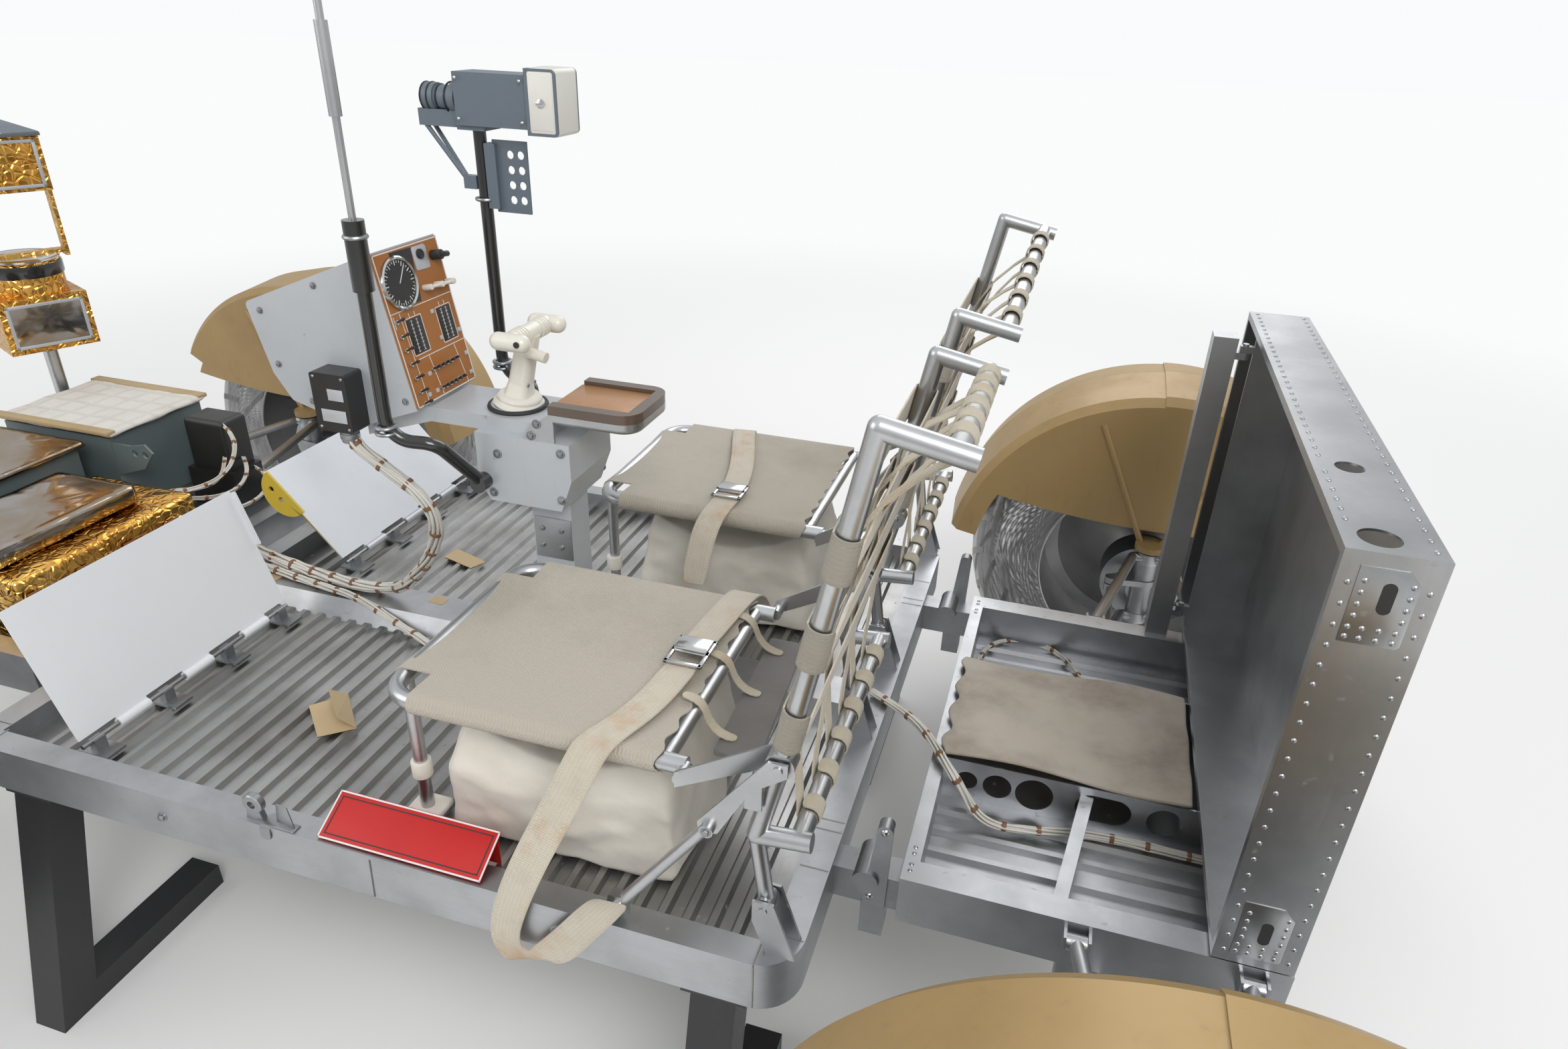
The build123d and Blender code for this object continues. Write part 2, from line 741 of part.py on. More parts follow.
# Seat frames: bent tube pans on legs, with the links and braces that hold the back pivots
with BuildPart() as seat_frames:
    pan_z = pan_top - pan_tube
    for name, side in sides:
        inner = pan_inner_y + pan_tube
        outer = pan_outer_y - pan_tube
        rear = pan_rear_x + pan_tube
        front = pan_front_x - pan_tube
        bent_rod(
            (
                (rear, side * inner, pan_z),
                (front, side * inner, pan_z),
                (front, side * outer, pan_z),
                (rear, side * outer, pan_z),
            ),
            pan_tube,
            pan_corner,
        )
        rod((rear + 30, side * inner, pan_z), (rear + 30, side * outer, pan_z), pan_tube - 2)
        for leg_y in (pan_inner_y + leg_inset_y, pan_outer_y - leg_inset_y):
            leg_x = front
            rod((leg_x, side * leg_y, bead_top), (leg_x, side * leg_y, pan_z), leg_radius)
            block(
                (leg_x - 22, leg_x + 22),
                (side * leg_y - 16, side * leg_y + 16),
                (bead_top, bead_top + 6),
            )
        for link_y, pan_y in ((back_outer_y, outer), (back_inner_y, inner)):
            facing = 1 if link_y < pan_y else -1
            link_face = link_y + facing * (back_tube + 2)
            low, high = both(sorted((link_face, link_face + facing * lug_gauge)), side)
            side_plate(
                (
                    (rear + 6, pan_z - 13),
                    (rear + 6, pan_z + 11),
                    (knee_x + 8, knee_z + 13),
                    (knee_x - 12, knee_z + 6),
                    (knee_x - 8, knee_z - 13),
                ),
                low,
                high - low,
            )
            rod(
                (rear, side * pan_y, pan_z),
                (rear, side * link_face, pan_z),
                9.0,
            )
            rod(
                (knee_x, side * (link_y - 22), knee_z),
                (knee_x, side * (link_y + 22), knee_z),
                bolt_radius,
            )
        brace_y = side * (back_outer_y + back_tube + 3)
        brace_mid = brace_y + side * lug_gauge / 2
        brace_x = foot_x + brace_reach
        clevis_x = foot_x + clevis_reach
        low, high = sorted((brace_y, brace_y + side * lug_gauge))
        side_plate(
            (
                (clevis_x + 12, clevis_z - 14),
                (clevis_x + 14, clevis_z + 6),
                (knee_x + 12, knee_z + 10),
                (knee_x - 12, knee_z + 10),
                (knee_x - 12, knee_z - 8),
                (foot_x + 5, clevis_z + 82),
                (foot_x + 5, clevis_z + 45),
                (foot_x + 26, clevis_z + 45),
                (foot_x + 26, clevis_z + 58),
                (clevis_x - 12, clevis_z - 6),
            ),
            low,
            high - low,
        )
        rod((brace_x - 7, brace_mid, rail_top + 20), (clevis_x + 4, brace_mid, clevis_z - 4), brace_radius)
        for bolt_x, bolt_z in ((brace_x - 7, rail_top + 20), (clevis_x, clevis_z)):
            rod((bolt_x, brace_mid - 10, bolt_z), (bolt_x, brace_mid + 10, bolt_z), 9.0)
        side_plate(
            (
                (brace_x - 18, rail_top),
                (brace_x + 14, rail_top),
                (brace_x + 6, rail_top + 36),
                (brace_x - 18, rail_top + 36),
            ),
            brace_mid - 7,
            14.0,
        )
finish(seat_frames.part, "seat_frames")

# Woven seat cloths, stretched over the pans
with BuildPart() as seat_cloths:
    for name, side in sides:
        block(
            (pan_rear_x + 52, pan_front_x - 34),
            both((pan_inner_y + 4, pan_outer_y - 4), side),
            (pan_top + seat_gap, pan_top + seat_gap + cloth_gauge),
        )
finish(seat_cloths.part, "seat_cloths")

# Fabric bags under the seats
with BuildPart() as seat_bags:
    for name, side in sides:
        block(
            (pan_rear_x + 43, pan_front_x - 57),
            both((pan_inner_y + 48, pan_outer_y - 38), side),
            (bead_top + seat_gap, pan_top - 65),
        )
    fillet(seat_bags.edges().filter_by(Axis.Z), 40)
finish(seat_bags.part, "seat_bags")

# Seat backs: two uprights with stubs and cross bars behind them
for name, side in sides:
    with BuildPart() as seat_back:
        knee = Vector(knee_x, 0, knee_z)
        upper_ends = []
        for upright_y, rise in ((back_outer_y, back_outer_rise), (back_inner_y, back_inner_rise)):
            across = Vector(0, side * upright_y, 0)
            top = knee + back_direction * rise + across
            rod(tuple(knee + across), tuple(top), back_tube)
            elbow = Vector(elbow_x, side * upright_y, elbow_z)
            rod(tuple(elbow), tuple(knee + across), back_tube)
            rod((foot_x, side * upright_y, foot_z), tuple(elbow), back_tube - 2)
            rod(tuple(top), tuple(top + stub_direction * stub_length), back_tube)
            rod(tuple(elbow), (elbow_x - lower_stub, side * upright_y, elbow_z + 6), back_tube)
            upper_ends.append(top + stub_direction * (stub_length - 22))
            with Locations(tuple(top), tuple(elbow)):
                Sphere(back_tube)
            with Locations(tuple(knee + across)):
                Cylinder(18, 2 * back_tube, rotation=(90, 0, 0))
            with Locations((foot_x, side * upright_y, foot_z)):
                Cylinder(14, 2 * back_tube, rotation=(90, 0, 0))
        rod(tuple(upper_ends[0]), tuple(upper_ends[1]), back_tube)
        lower_x = elbow_x - lower_stub + 16
        rod(
            (lower_x, side * back_outer_y, elbow_z + 5),
            (lower_x, side * back_inner_y, elbow_z + 5),
            back_tube,
        )
        for upright_y in (back_outer_y, back_inner_y):
            for hole_x, hole_z in ((knee_x, knee_z), (foot_x, foot_z)):
                rod(
                    (hole_x, side * upright_y - 30, hole_z),
                    (hole_x, side * upright_y + 30, hole_z),
                    bolt_radius + pin_gap,
                    mode=Mode.SUBTRACT,
                )
            block(
                (foot_x, foot_x + 30),
                (side * upright_y - 30, side * upright_y + 30),
                (foot_z - bolt_radius - 2, foot_z + bolt_radius + 2),
                mode=Mode.SUBTRACT,
            )
    finish(seat_back.part, f"seat_back_{name}")

# Webbing laced between the cross bars of each seat back
for name, side in sides:
    low_bar = Vector(elbow_x - lower_stub + 16, 0, elbow_z + 5)
    high_bar = knee + back_direction * back_outer_rise + stub_direction * (stub_length - 22)
    run = high_bar - low_bar
    outward = Vector(0, 1, 0).cross(run).normalized()
    bar_clear = back_tube + seat_gap
    fall = (back_outer_rise - back_inner_rise) / (back_outer_y - back_inner_y)
    with BuildPart() as webbing:
        plane = Plane(origin=low_bar + outward * bar_clear, x_dir=(0, 1, 0), z_dir=outward)
        with BuildSketch(plane) as straps:
            for index in range(strap_count):
                strap_y = back_inner_y + 36 + index * (back_outer_y - back_inner_y - 72) / (strap_count - 1)
                strap_top = run.length - fall * (back_outer_y - strap_y)
                with Locations((side * strap_y, strap_top / 2)):
                    Rectangle(strap_width, strap_top)
            for share in (0.22, 0.5, 0.78):
                with Locations((side * (back_inner_y + back_outer_y) / 2, run.length * share)):
                    Rectangle(back_outer_y - back_inner_y - 72 + strap_width, strap_width)
        extrude(amount=strap_gauge)
    finish(webbing.part, f"seat_webbing_{name}")

# Footrests, hinged at their lower edges
for (name, side), rise in zip(sides, (left_footrest_rise, right_footrest_rise)):
    angle = math.radians(rise)
    along = Vector(math.cos(angle), 0, math.sin(angle))
    plane = Plane(
        origin=(footrest_x, 0, footrest_z),
        x_dir=(0, 1, 0),
        z_dir=Vector(0, 1, 0).cross(along),
    )
    low, high = both((footrest_inner_y, footrest_outer_y), side)
    latch_y = min(side * (footrest_inner_y - latch_gauge + 1), side * (footrest_inner_y + 1))
    latch_plane = Plane(origin=(footrest_x, latch_y, footrest_z), x_dir=along, z_dir=(0, 1, 0))
    with BuildPart() as footrest:
        with BuildSketch(plane) as sheet_outline:
            with Locations(((low + high) / 2, footrest_length / 2 + hinge_radius * 2)):
                Rectangle(high - low, footrest_length)
            for knuckle_y in footrest_knuckles:
                with Locations((low + (high - low) * knuckle_y + 30, hinge_radius * 1.5)):
                    Rectangle(60, hinge_radius * 2)
        extrude(amount=footrest_gauge / 2, both=True)
        with BuildSketch(latch_plane) as latch:
            with BuildLine():
                crown = ThreePointArc(
                    (latch_low, -latch_back),
                    ((latch_low + latch_high) / 2, latch_reach),
                    (latch_high, -latch_back),
                )
                Line(crown @ 1, crown @ 0)
            make_face()
            with Locations(((latch_low + latch_high) / 2 - 6, 12), ((latch_low + latch_high) / 2 + 24, 12)):
                Circle(latch_hole, mode=Mode.SUBTRACT)
        extrude(latch.sketch, amount=latch_gauge)
        for knuckle_y in footrest_knuckles:
            start_y = low + (high - low) * knuckle_y
            rod(
                (footrest_x, start_y, footrest_z),
                (footrest_x, start_y + 60, footrest_z),
                hinge_radius + 2,
            )
            rod(
                (footrest_x, start_y - 1, footrest_z),
                (footrest_x, start_y + 61, footrest_z),
                hinge_radius - 2 + pin_gap,
                mode=Mode.SUBTRACT,
            )
    finish(footrest.part, f"footrest_{name}")

with BuildPart() as footrest_hinges:
    for name, side in sides:
        low, high = both((footrest_inner_y, footrest_outer_y), side)
        rod((footrest_x, low, footrest_z), (footrest_x, high, footrest_z), hinge_radius - 2)
        for post_y in (0.02, 0.32, 0.62, 0.92):
            start_y = low + (high - low) * post_y
            block(
                (footrest_x - 7, footrest_x + 7),
                (start_y, start_y + 20),
                (floor_z, footrest_z + 2),
            )
            block(
                (footrest_x - 34, footrest_x + 26),
                (start_y - 8, start_y + 28),
                (bead_top, bead_top + 4),
            )
finish(footrest_hinges.part, "footrest_hinges")

# Control post: box post on the centre beam, housing and top tray
with BuildPart() as control_post:
    block((post_x - post_depth / 2, post_x + post_depth / 2), (-32, 32), (beam_top, 822))
    side_plate(
        (
            (38, 944),
            (-138, 944),
            (-138, 878),
            (-116, 820),
            (18, 820),
            (38, 850),
        ),
        -housing_half,
        2 * housing_half,
    )
    block((-93, 128), (-tray_half, tray_half), (tray_top - tray_depth, tray_top))
    for side in (-1, 1):
        side_plate(
            ((60, 944), (130, 944), (262, 900), (262, 922.8), (134, 970.5), (60, 967)),
            min(side * tray_half, side * (tray_half - 8)),
            8.0,
        )
    with Locations((-5, 0, tray_top + 3)):
        Cylinder(46, 6)
        Cylinder(38, 6, mode=Mode.SUBTRACT)
        Cylinder(26, 6)
finish(control_post.part, "control_post")

# Hand controller: stem and cross bar with end lobes
with BuildPart() as hand_controller:
    base = Vector(-5, 0, tray_top + 6 + seat_gap)
    head = Vector(-38, 0, tray_top + handle_rise)
    lean = head - base
    with BuildSketch(Plane(origin=base, x_dir=(0, 1, 0), z_dir=(0, 0, 1))) as stem_low:
        RectangleRounded(56, 50, 16)
    with BuildSketch(Plane(origin=base + lean * 0.3, x_dir=(0, 1, 0), z_dir=lean)) as stem_mid:
        RectangleRounded(36, 38, 12)
    with BuildSketch(Plane(origin=head, x_dir=(0, 1, 0), z_dir=lean)) as stem_high:
        RectangleRounded(32, 34, 12)
    loft([stem_low.sketch, stem_mid.sketch, stem_high.sketch], ruled=True)
    rod((head.X, -grip_half, head.Z), (head.X, grip_half, head.Z), grip_radius)
    rod((head.X - 8, 22, head.Z - 26), (head.X - 42, 24, head.Z - 32), 9.0)
    for side in (-1, 1):
        for rib in range(grip_ribs):
            rib_y = side * (22 + rib * 7)
            rod((head.X, rib_y - 1.5, head.Z), (head.X, rib_y + 1.5, head.Z), grip_radius + 2)
        lobe_y = side * (grip_half + 2)
        rod((head.X - 20, lobe_y, head.Z), (head.X + 20, lobe_y, head.Z), grip_radius)
        with Locations((head.X - 20, lobe_y, head.Z), (head.X + 20, lobe_y, head.Z)):
            Sphere(grip_radius)
finish(hand_controller.part, "hand_controller")

# Armrest: aluminium tray with a padded rim and centre
with BuildPart() as armrest_tray:
    block((-258, -104), (-75, 75), (armrest_top - 34, armrest_top - 16))
    fillet(armrest_tray.edges().filter_by(Axis.Z).sort_by(Axis.X)[:2], 34)
    fillet(armrest_tray.edges().group_by(Axis.Z)[0], 8)
    for side in (-1, 1):
        low, high = sorted((side * housing_half, side * (housing_half - 4)))
        side_plate(
            ((-112, 944), (-60, 944), (-60, 962), (-104, armrest_top - 17), (-112, armrest_top - 17)),
            low,
            high - low,
        )
finish(armrest_tray.part, "armrest_tray")

with BuildPart() as armrest_pad:
    block((-258, -104), (-75, 75), (armrest_top - 16 + seat_gap, armrest_top))
    fillet(armrest_pad.edges().filter_by(Axis.Z).sort_by(Axis.X)[:2], 34)
    block(
        (-258 + armrest_rim, -100),
        (-housing_half + armrest_rim, housing_half - armrest_rim),
        (armrest_top - 9, armrest_top + 1),
        mode=Mode.SUBTRACT,
    )
finish(armrest_pad.part, "armrest_pad")

# Console: closed sheet housing in front of the post
console_outline = ((185, 1227), (447, 1123), (417, 1002), (387, 956), (265, 922), (135, 970.5))
with BuildPart() as console:
    side_plate(console_outline, -console_half, 2 * console_half)
    fillet(console.edges().filter_by(Axis.Y).sort_by(Axis.X)[-3:], console_corner)
finish(console.part, "console")

# Black box on the console's left side, with the harness leaving its underside
with BuildPart() as signal_box:
    block((234, 303), (console_half, console_half + 44), (930, 1033))
    fillet(signal_box.edges().filter_by(Axis.Y), 5)
finish(signal_box.part, "signal_box")

panel_low = Vector(135, 0, 970.5)
panel_high = Vector(185, 0, 1227)
panel_run = panel_high - panel_low
with BuildPart() as instrument_panel:
    panel_plane = Plane(
        origin=(panel_low + panel_high) * 0.5,
        x_dir=(0, -1, 0),
        z_dir=Vector(0, -1, 0).cross(panel_run),
    )
    with BuildSketch(panel_plane) as board:
        Rectangle(2 * console_half - 4, panel_run.length - 6)
    extrude(amount=panel_gauge)
finish(instrument_panel.part, "instrument_panel")

# Inboard handholds, one carrying the antenna mast and one the film camera
with BuildPart() as handholds:
    for side in (-1, 1):
        bent_rod(
            (
                (handhold_x, side * handhold_y, sleeve_top - 30),
                (handhold_x, side * handhold_y, 955),
                (56, side * (handhold_y - 20), 950),
                (27, side * (housing_half + 10), 857),
            ),
            handhold_radius,
            (42, 34),
        )
        rod(
            (27, side * housing_half, 857),
            (27, side * (housing_half + 24), 857),
            15.0,
        )
    rod(
        (handhold_x, handhold_y, sleeve_base),
        (handhold_x, handhold_y, sleeve_top),
        sleeve_radius,
    )
    rod(
        (handhold_x, handhold_y, sleeve_top - 60),
        (handhold_x, handhold_y, sleeve_top + 1),
        mast_radius + pin_gap,
        mode=Mode.SUBTRACT,
    )
    rod(
        (handhold_x, -handhold_y, sleeve_top - 40),
        (handhold_x, -handhold_y, camera_base - 8),
        handhold_radius,
    )
finish(handholds.part, "handholds")

with BuildPart() as low_gain_antenna:
    rod(
        (handhold_x, handhold_y, sleeve_top - 60 + seat_gap),
        (handhold_x, handhold_y, mast_top - 150),
        mast_radius,
    )
    rod((handhold_x, handhold_y, 1440), (handhold_x, handhold_y, 1560), 9.0)
    with BuildSketch(Plane.XY.offset(mast_top - 150)) as horn_low:
        with Locations((handhold_x, handhold_y)):
            Circle(38)
    with BuildSketch(Plane.XY.offset(mast_top)) as horn_high:
        with Locations((handhold_x, handhold_y)):
            Circle(20)
    loft([horn_low.sketch, horn_high.sketch])
finish(low_gain_antenna.part, "low_gain_antenna")

with BuildPart() as film_camera:
    camera_y = -handhold_y
    block((15, 152), (camera_y - 32, camera_y + 32), (camera_base, camera_base + 83))
    block((-41, 15), (camera_y - 38, camera_y + 38), (camera_base - 8, camera_base + 94))
    fillet(film_camera.edges().filter_by(Axis.Y).sort_by(Axis.X)[:2], 8)
    # Lens barrel: start x, end x, radius
    for start_x, end_x, barrel in ((150, 172, 25.0), (170, 204, 20.0), (202, 226, 23.0)):
        rod((start_x, camera_y, lens_z), (end_x, camera_y, lens_z), barrel)
    block((handhold_x - 26, handhold_x + 26), (camera_y - 26, camera_y + 26), (camera_base - 8, camera_base + 1))
    block((150, 236), (camera_y - 16, camera_y + 16), (camera_base - 6, lens_z - 18))
    for side in (-1, 1):
        rod(
            (handhold_x + 30, camera_y + side * 2, sleeve_top + 4),
            (226, camera_y + side * 11, camera_base - 4),
            4.0,
        )
    post_face = handhold_radius + seat_gap
    block((handhold_x - 32, handhold_x - post_face), (camera_y - 10, camera_y + 10), (1262, 1370))
    block(
        (handhold_x + post_face, handhold_x + 36),
        (camera_y - 8, camera_y + 8),
        (sleeve_top - 8, sleeve_top + 14),
    )
    side_plate(((41, 1256), (107, 1256), (107, 1376), (41, 1376)), camera_y - 2, 4.0)
    for hole_x in (54, 74):
        for hole_z in (1278, 1303, 1328, 1353):
            rod((hole_x, camera_y - 4, hole_z), (hole_x, camera_y + 4, hole_z), 7.0, mode=Mode.SUBTRACT)
finish(film_camera.part, "film_camera")

# Batteries on the front frame, with their dust covers
# Battery: rear and front from the axle, right y, left y, top z
battery_sizes = ((-68, 269, -370, -90, 700), (-21, 269, -75, 205, 684))
with BuildPart() as batteries:
    for rear, front, right, left, top in battery_sizes:
        block((axle_x + rear + 18, axle_x + front - 18), (right + 14, left - 14), (rail_top, top))
    side_plate(
        (
            (axle_x - 43, 690),
            (axle_x - 103, 690),
            (axle_x - 143, 699),
            (axle_x - 161, 680),
            (axle_x - 129, 640),
            (axle_x - 43, 610),
        ),
        -110,
        5.0,
    )
    for hole_x in (axle_x - 140, axle_x - 112):
        rod((hole_x, -112, 674), (hole_x, -103, 674), 8.0, mode=Mode.SUBTRACT)
finish(batteries.part, "batteries")

with BuildPart() as battery_covers:
    for rear, front, right, left, top in battery_sizes:
        block((axle_x + rear, axle_x + front), (right, left), (top + seat_gap, top + 20))
finish(battery_covers.part, "battery_covers")

# Foil-wrapped electronics behind the batteries
with BuildPart() as electronics:
    block((axle_x - 308, axle_x - 31), (-64, 352), (floor_z, 640))
    block((axle_x - 250, axle_x - 43), (20, 330), (640, 680))
finish(electronics.part, "electronics")

with BuildPart() as relay_box:
    block((axle_x - 198, axle_x - 88), (-340, -262), (floor_z, 700))
    fillet(relay_box.edges().filter_by(Axis.Z), 8)
    fillet(relay_box.edges().group_by(Axis.Z)[-1], 12)
    block((axle_x - 208, axle_x - 78), (-345, -255), (floor_z, 575))
finish(relay_box.part, "relay_box")

# Television mount and camera: post, turning head with its drum, then the camera
with BuildPart() as tv_post:
    rod((tv_x, tv_y, rail_base + 8), (tv_x, tv_y, tv_base_z - seat_gap), tv_post_radius)
    block((front_end, tv_x + 24), (tv_y - 34, tv_y + 34), (rail_base + 8, rail_base + 24))
    block((front_end, front_end + 8), (tv_y - 34, tv_y + 34), (rail_base + 8, rail_top))
finish(tv_post.part, "tv_post")

with BuildPart() as tv_head:
    block((tv_x - 75, tv_x + 75), (tv_y - 90, tv_y + 90), (tv_base_z, tv_base_z + 124))
    rod((tv_x, tv_y, tv_base_z + 124), (tv_x, tv_y, tv_base_z + 204), 74.0)
    for side in (-1, 1):
        block(
            (tv_x - 14, tv_x + 14),
            (tv_y + side * 92 - 4, tv_y + side * 92 + 4),
            (tv_base_z + 196, tv_tilt_z + 14),
        )
    block((tv_x - 14, tv_x + 14), (tv_y - 96, tv_y + 96), (tv_base_z + 204, tv_base_z + 212))
    rod((tv_x, tv_y - 100, tv_tilt_z), (tv_x, tv_y - 84, tv_tilt_z), 7.0)
    rod((tv_x, tv_y + 84, tv_tilt_z), (tv_x, tv_y + 100, tv_tilt_z), 7.0)
finish(tv_head.part.rotate(tv_axis, tv_yaw), "tv_head")

with BuildPart() as tv_camera:
    block((tv_x - 90, tv_x + 280), (tv_y - 80, tv_y + 80), (tv_tilt_z - 20, tv_tilt_z + 96))
    block((tv_x - 104, tv_x + 300), (tv_y - 81, tv_y + 81), (tv_tilt_z + 96, tv_tilt_z + 104))
    rod((tv_x + 280, tv_y, tv_tilt_z + 40), (tv_x + 316, tv_y, tv_tilt_z + 40), 38.0)
    for side in (-1, 1):
        rod(
            (tv_x, tv_y + side * 78, tv_tilt_z),
            (tv_x, tv_y + side * (84 - 0.5), tv_tilt_z),
            16.0,
        )
finish(tv_camera.part.rotate(tv_axis, tv_yaw), "tv_camera")

# Tool pallet: riveted sheet box, hinged at its right side
with BuildPart() as pallet:
    back_x = pallet_front_x - pallet_depth
    block((back_x, pallet_front_x), (pallet_right_y, pallet_left_y), (pallet_base, pallet_top))
    block(
        (back_x + pallet_skin, pallet_front_x - pallet_skin),
        (pallet_right_y + pallet_skin, pallet_left_y - pallet_skin),
        (pallet_base + pallet_skin, pallet_top - pallet_skin),
        mode=Mode.SUBTRACT,
    )
    block(
        (pallet_front_x - pallet_skin - 1, pallet_front_x + 1),
        (pallet_right_y + pallet_lip, pallet_left_y - pallet_lip),
        (pallet_base + pallet_lip, pallet_top - pallet_lip),
        mode=Mode.SUBTRACT,
    )
    block((back_x, pallet_front_x), (pallet_post_y, pallet_post_y + pallet_skin), (pallet_base, pallet_top))
    # Hole in the top: x from the front edge, y, radius
    for setback, hole_y, hole_radius in ((43, 176, 17.0), (39, 368, 22.0)):
        hole_x = pallet_front_x - setback
        rod((hole_x, hole_y, pallet_top - 8), (hole_x, hole_y, pallet_top + 2), hole_radius, mode=Mode.SUBTRACT)
    block(
        (pallet_front_x - 59, pallet_front_x - 45),
        (pallet_left_y - 8, pallet_left_y + 2),
        (pallet_top - 69, pallet_top - 32),
        mode=Mode.SUBTRACT,
    )
    for lug_z in pallet_lugs:
        block(
            (pallet_front_x - 1, pallet_hinge_x + 9),
            (pallet_hinge_y - 4, pallet_hinge_y + 8),
            (lug_z + seat_gap, lug_z + 12),
        )
        rod(
            (pallet_hinge_x, pallet_hinge_y, lug_z - 1),
            (pallet_hinge_x, pallet_hinge_y, lug_z + 16),
            pallet_pin + pin_gap,
            mode=Mode.SUBTRACT,
        )
finish(pallet.part, "tool_pallet")

# Canvas cover over the stowage on the rear frame
with BuildPart() as stowage_cover:
    block((-1190, -803), (web_right_y + 1, web_left_y + 2), (rail_top + seat_gap, rail_top + 16))
finish(stowage_cover.part, "stowage_cover")

# Wire harness, tied to the frame: console to the front deck, and main frame to rear frame
# Harness: name, radius, route points, bend radii
harness_runs = (
    (
        "harness_front",
        11.0,
        (
            (262, 108, 929.7),
            (262, 108, 906),
            (228, 106, 878),
            (186, 102, 850),
            (148, 99, 822),
            (128, 94, 788),
            (130, 86, 748),
            (148, 78, 706),
            (178, 64, 660),
            (222, 44, 612),
            (276, 16, 560),
            (334, -6, beam_top + 14),
            (394, 4, beam_top + 12),
            (480, -4, beam_top + 13),
            (560, -14, beam_top + 15),
            (630, -24, beam_top + 20),
            (700, -38, beam_top + 25),
            (770, -40, beam_top + 29),
            (834.7, -40, beam_top + 29),
        ),
    ),
    (
        "harness_rear",
        8.0,
        (
            (-660, 4, rail_top + 9),
            (-725, 40, rail_top + 9),
            (-772, 84, rail_top + 10),
            (-822, 167, rail_top + 14),
            (-848, 174, rail_top - 18),
            (-870, 178, rail_top - 50),
            (-900, 187, rail_top - 62),
            (-969, 176, rail_top - 62),
            (-1057, 154, rail_top - 62),
            (-1144, 156, rail_top - 62),
            (-1259.7, 156, rail_top - 62),
        ),
    ),
)
for name, radius, points in harness_runs:
    vectors = [Vector(*point) for point in points]
    bends = []
    for before, here, after in zip(vectors, vectors[1:], vectors[2:]):
        turn = (here - before).get_angle(after - here)
        shorter = min((here - before).length, (after - here).length)
        bends.append(0.45 * shorter / math.tan(math.radians(turn) / 2))
    print(name, "bend radii", [round(bend) for bend in bends])
    with BuildPart() as harness:
        bent_rod(points, radius, tuple(bends))
    finish(harness.part, name)

# Display stands: square posts with cap plates and foot bars, bolted under the rails
with BuildPart() as display_stand:
    for end in (-1, 1):
        for side in (-1, 1):
            with BuildSketch(Plane.XY) as foot_section:
                with Locations((end * stand_x, side * (frame_y - 20 + stand_spread))):
                    Rectangle(stand_post, stand_post)
            with BuildSketch(Plane.XY.offset(rail_base - 8)) as cap_section:
                with Locations((end * stand_x, side * (frame_y - 36))):
                    Rectangle(stand_post, stand_post)
            loft([foot_section.sketch, cap_section.sketch], ruled=True)
            block(
                (end * stand_x - 46, end * stand_x + 46),
                sorted((side * (frame_y - 80), side * (frame_y - 2))),
                (rail_base - 8, rail_base),
            )
            block(
                (end * stand_x - stand_post / 2, end * stand_x + stand_post / 2),
                sorted((side * (frame_y - 250), side * (frame_y - 20 + stand_spread))),
                (0, 46),
            )
finish(display_stand.part, "display_stand")
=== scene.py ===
"""Looks of the open two-seat lunar roving vehicle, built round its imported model.

Lengths are metres in the model's frame: X forward, Y to the vehicle's left, Z up, with the
origin on the floor half way between the axles.
"""

from __future__ import annotations

import json
import logging
import math
from collections.abc import Callable, Iterable, Sequence
from dataclasses import dataclass
from enum import Enum

import bpy
from mathutils import Matrix, Quaternion, Vector

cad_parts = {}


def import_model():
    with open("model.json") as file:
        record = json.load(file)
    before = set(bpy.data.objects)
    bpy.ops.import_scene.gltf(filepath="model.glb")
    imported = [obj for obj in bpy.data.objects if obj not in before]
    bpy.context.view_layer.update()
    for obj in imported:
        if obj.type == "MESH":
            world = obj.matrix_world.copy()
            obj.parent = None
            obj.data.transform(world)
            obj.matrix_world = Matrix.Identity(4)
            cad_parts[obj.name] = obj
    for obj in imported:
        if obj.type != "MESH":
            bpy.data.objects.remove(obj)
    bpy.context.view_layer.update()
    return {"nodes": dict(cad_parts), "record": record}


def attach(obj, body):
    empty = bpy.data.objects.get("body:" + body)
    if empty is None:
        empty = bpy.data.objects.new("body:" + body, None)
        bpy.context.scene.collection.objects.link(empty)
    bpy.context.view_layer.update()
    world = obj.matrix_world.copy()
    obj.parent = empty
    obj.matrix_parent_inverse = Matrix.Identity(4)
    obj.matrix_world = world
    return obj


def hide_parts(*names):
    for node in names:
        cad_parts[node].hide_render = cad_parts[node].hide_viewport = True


log = logging.getLogger("rover")

Colour = tuple[float, float, float]
Point = tuple[float, float, float] | Vector
Place = tuple[Point, Point]
Pairs = tuple[tuple[float, float], ...]
Route = tuple[Point, ...]
Piece = bpy.types.Object

ROOT = "frame"
SIDES = (("left", 1), ("right", -1))

# Fasteners' heads, in shares of a head's radius: the dome's outline, and for each part of a bolt its
# foot, its top, its width, its sides and its chamfer.
DOME = ((0.0, 0.62), (0.45, 0.55), (0.8, 0.34), (1.0, 0.08), (1.0, -0.1), (0.0, -0.1))
BOLT = (("washer", -0.1, 0.22, 1.5, 20, 0.08), ("head", 0.2, 0.95, 1.0, 6, 0.14))


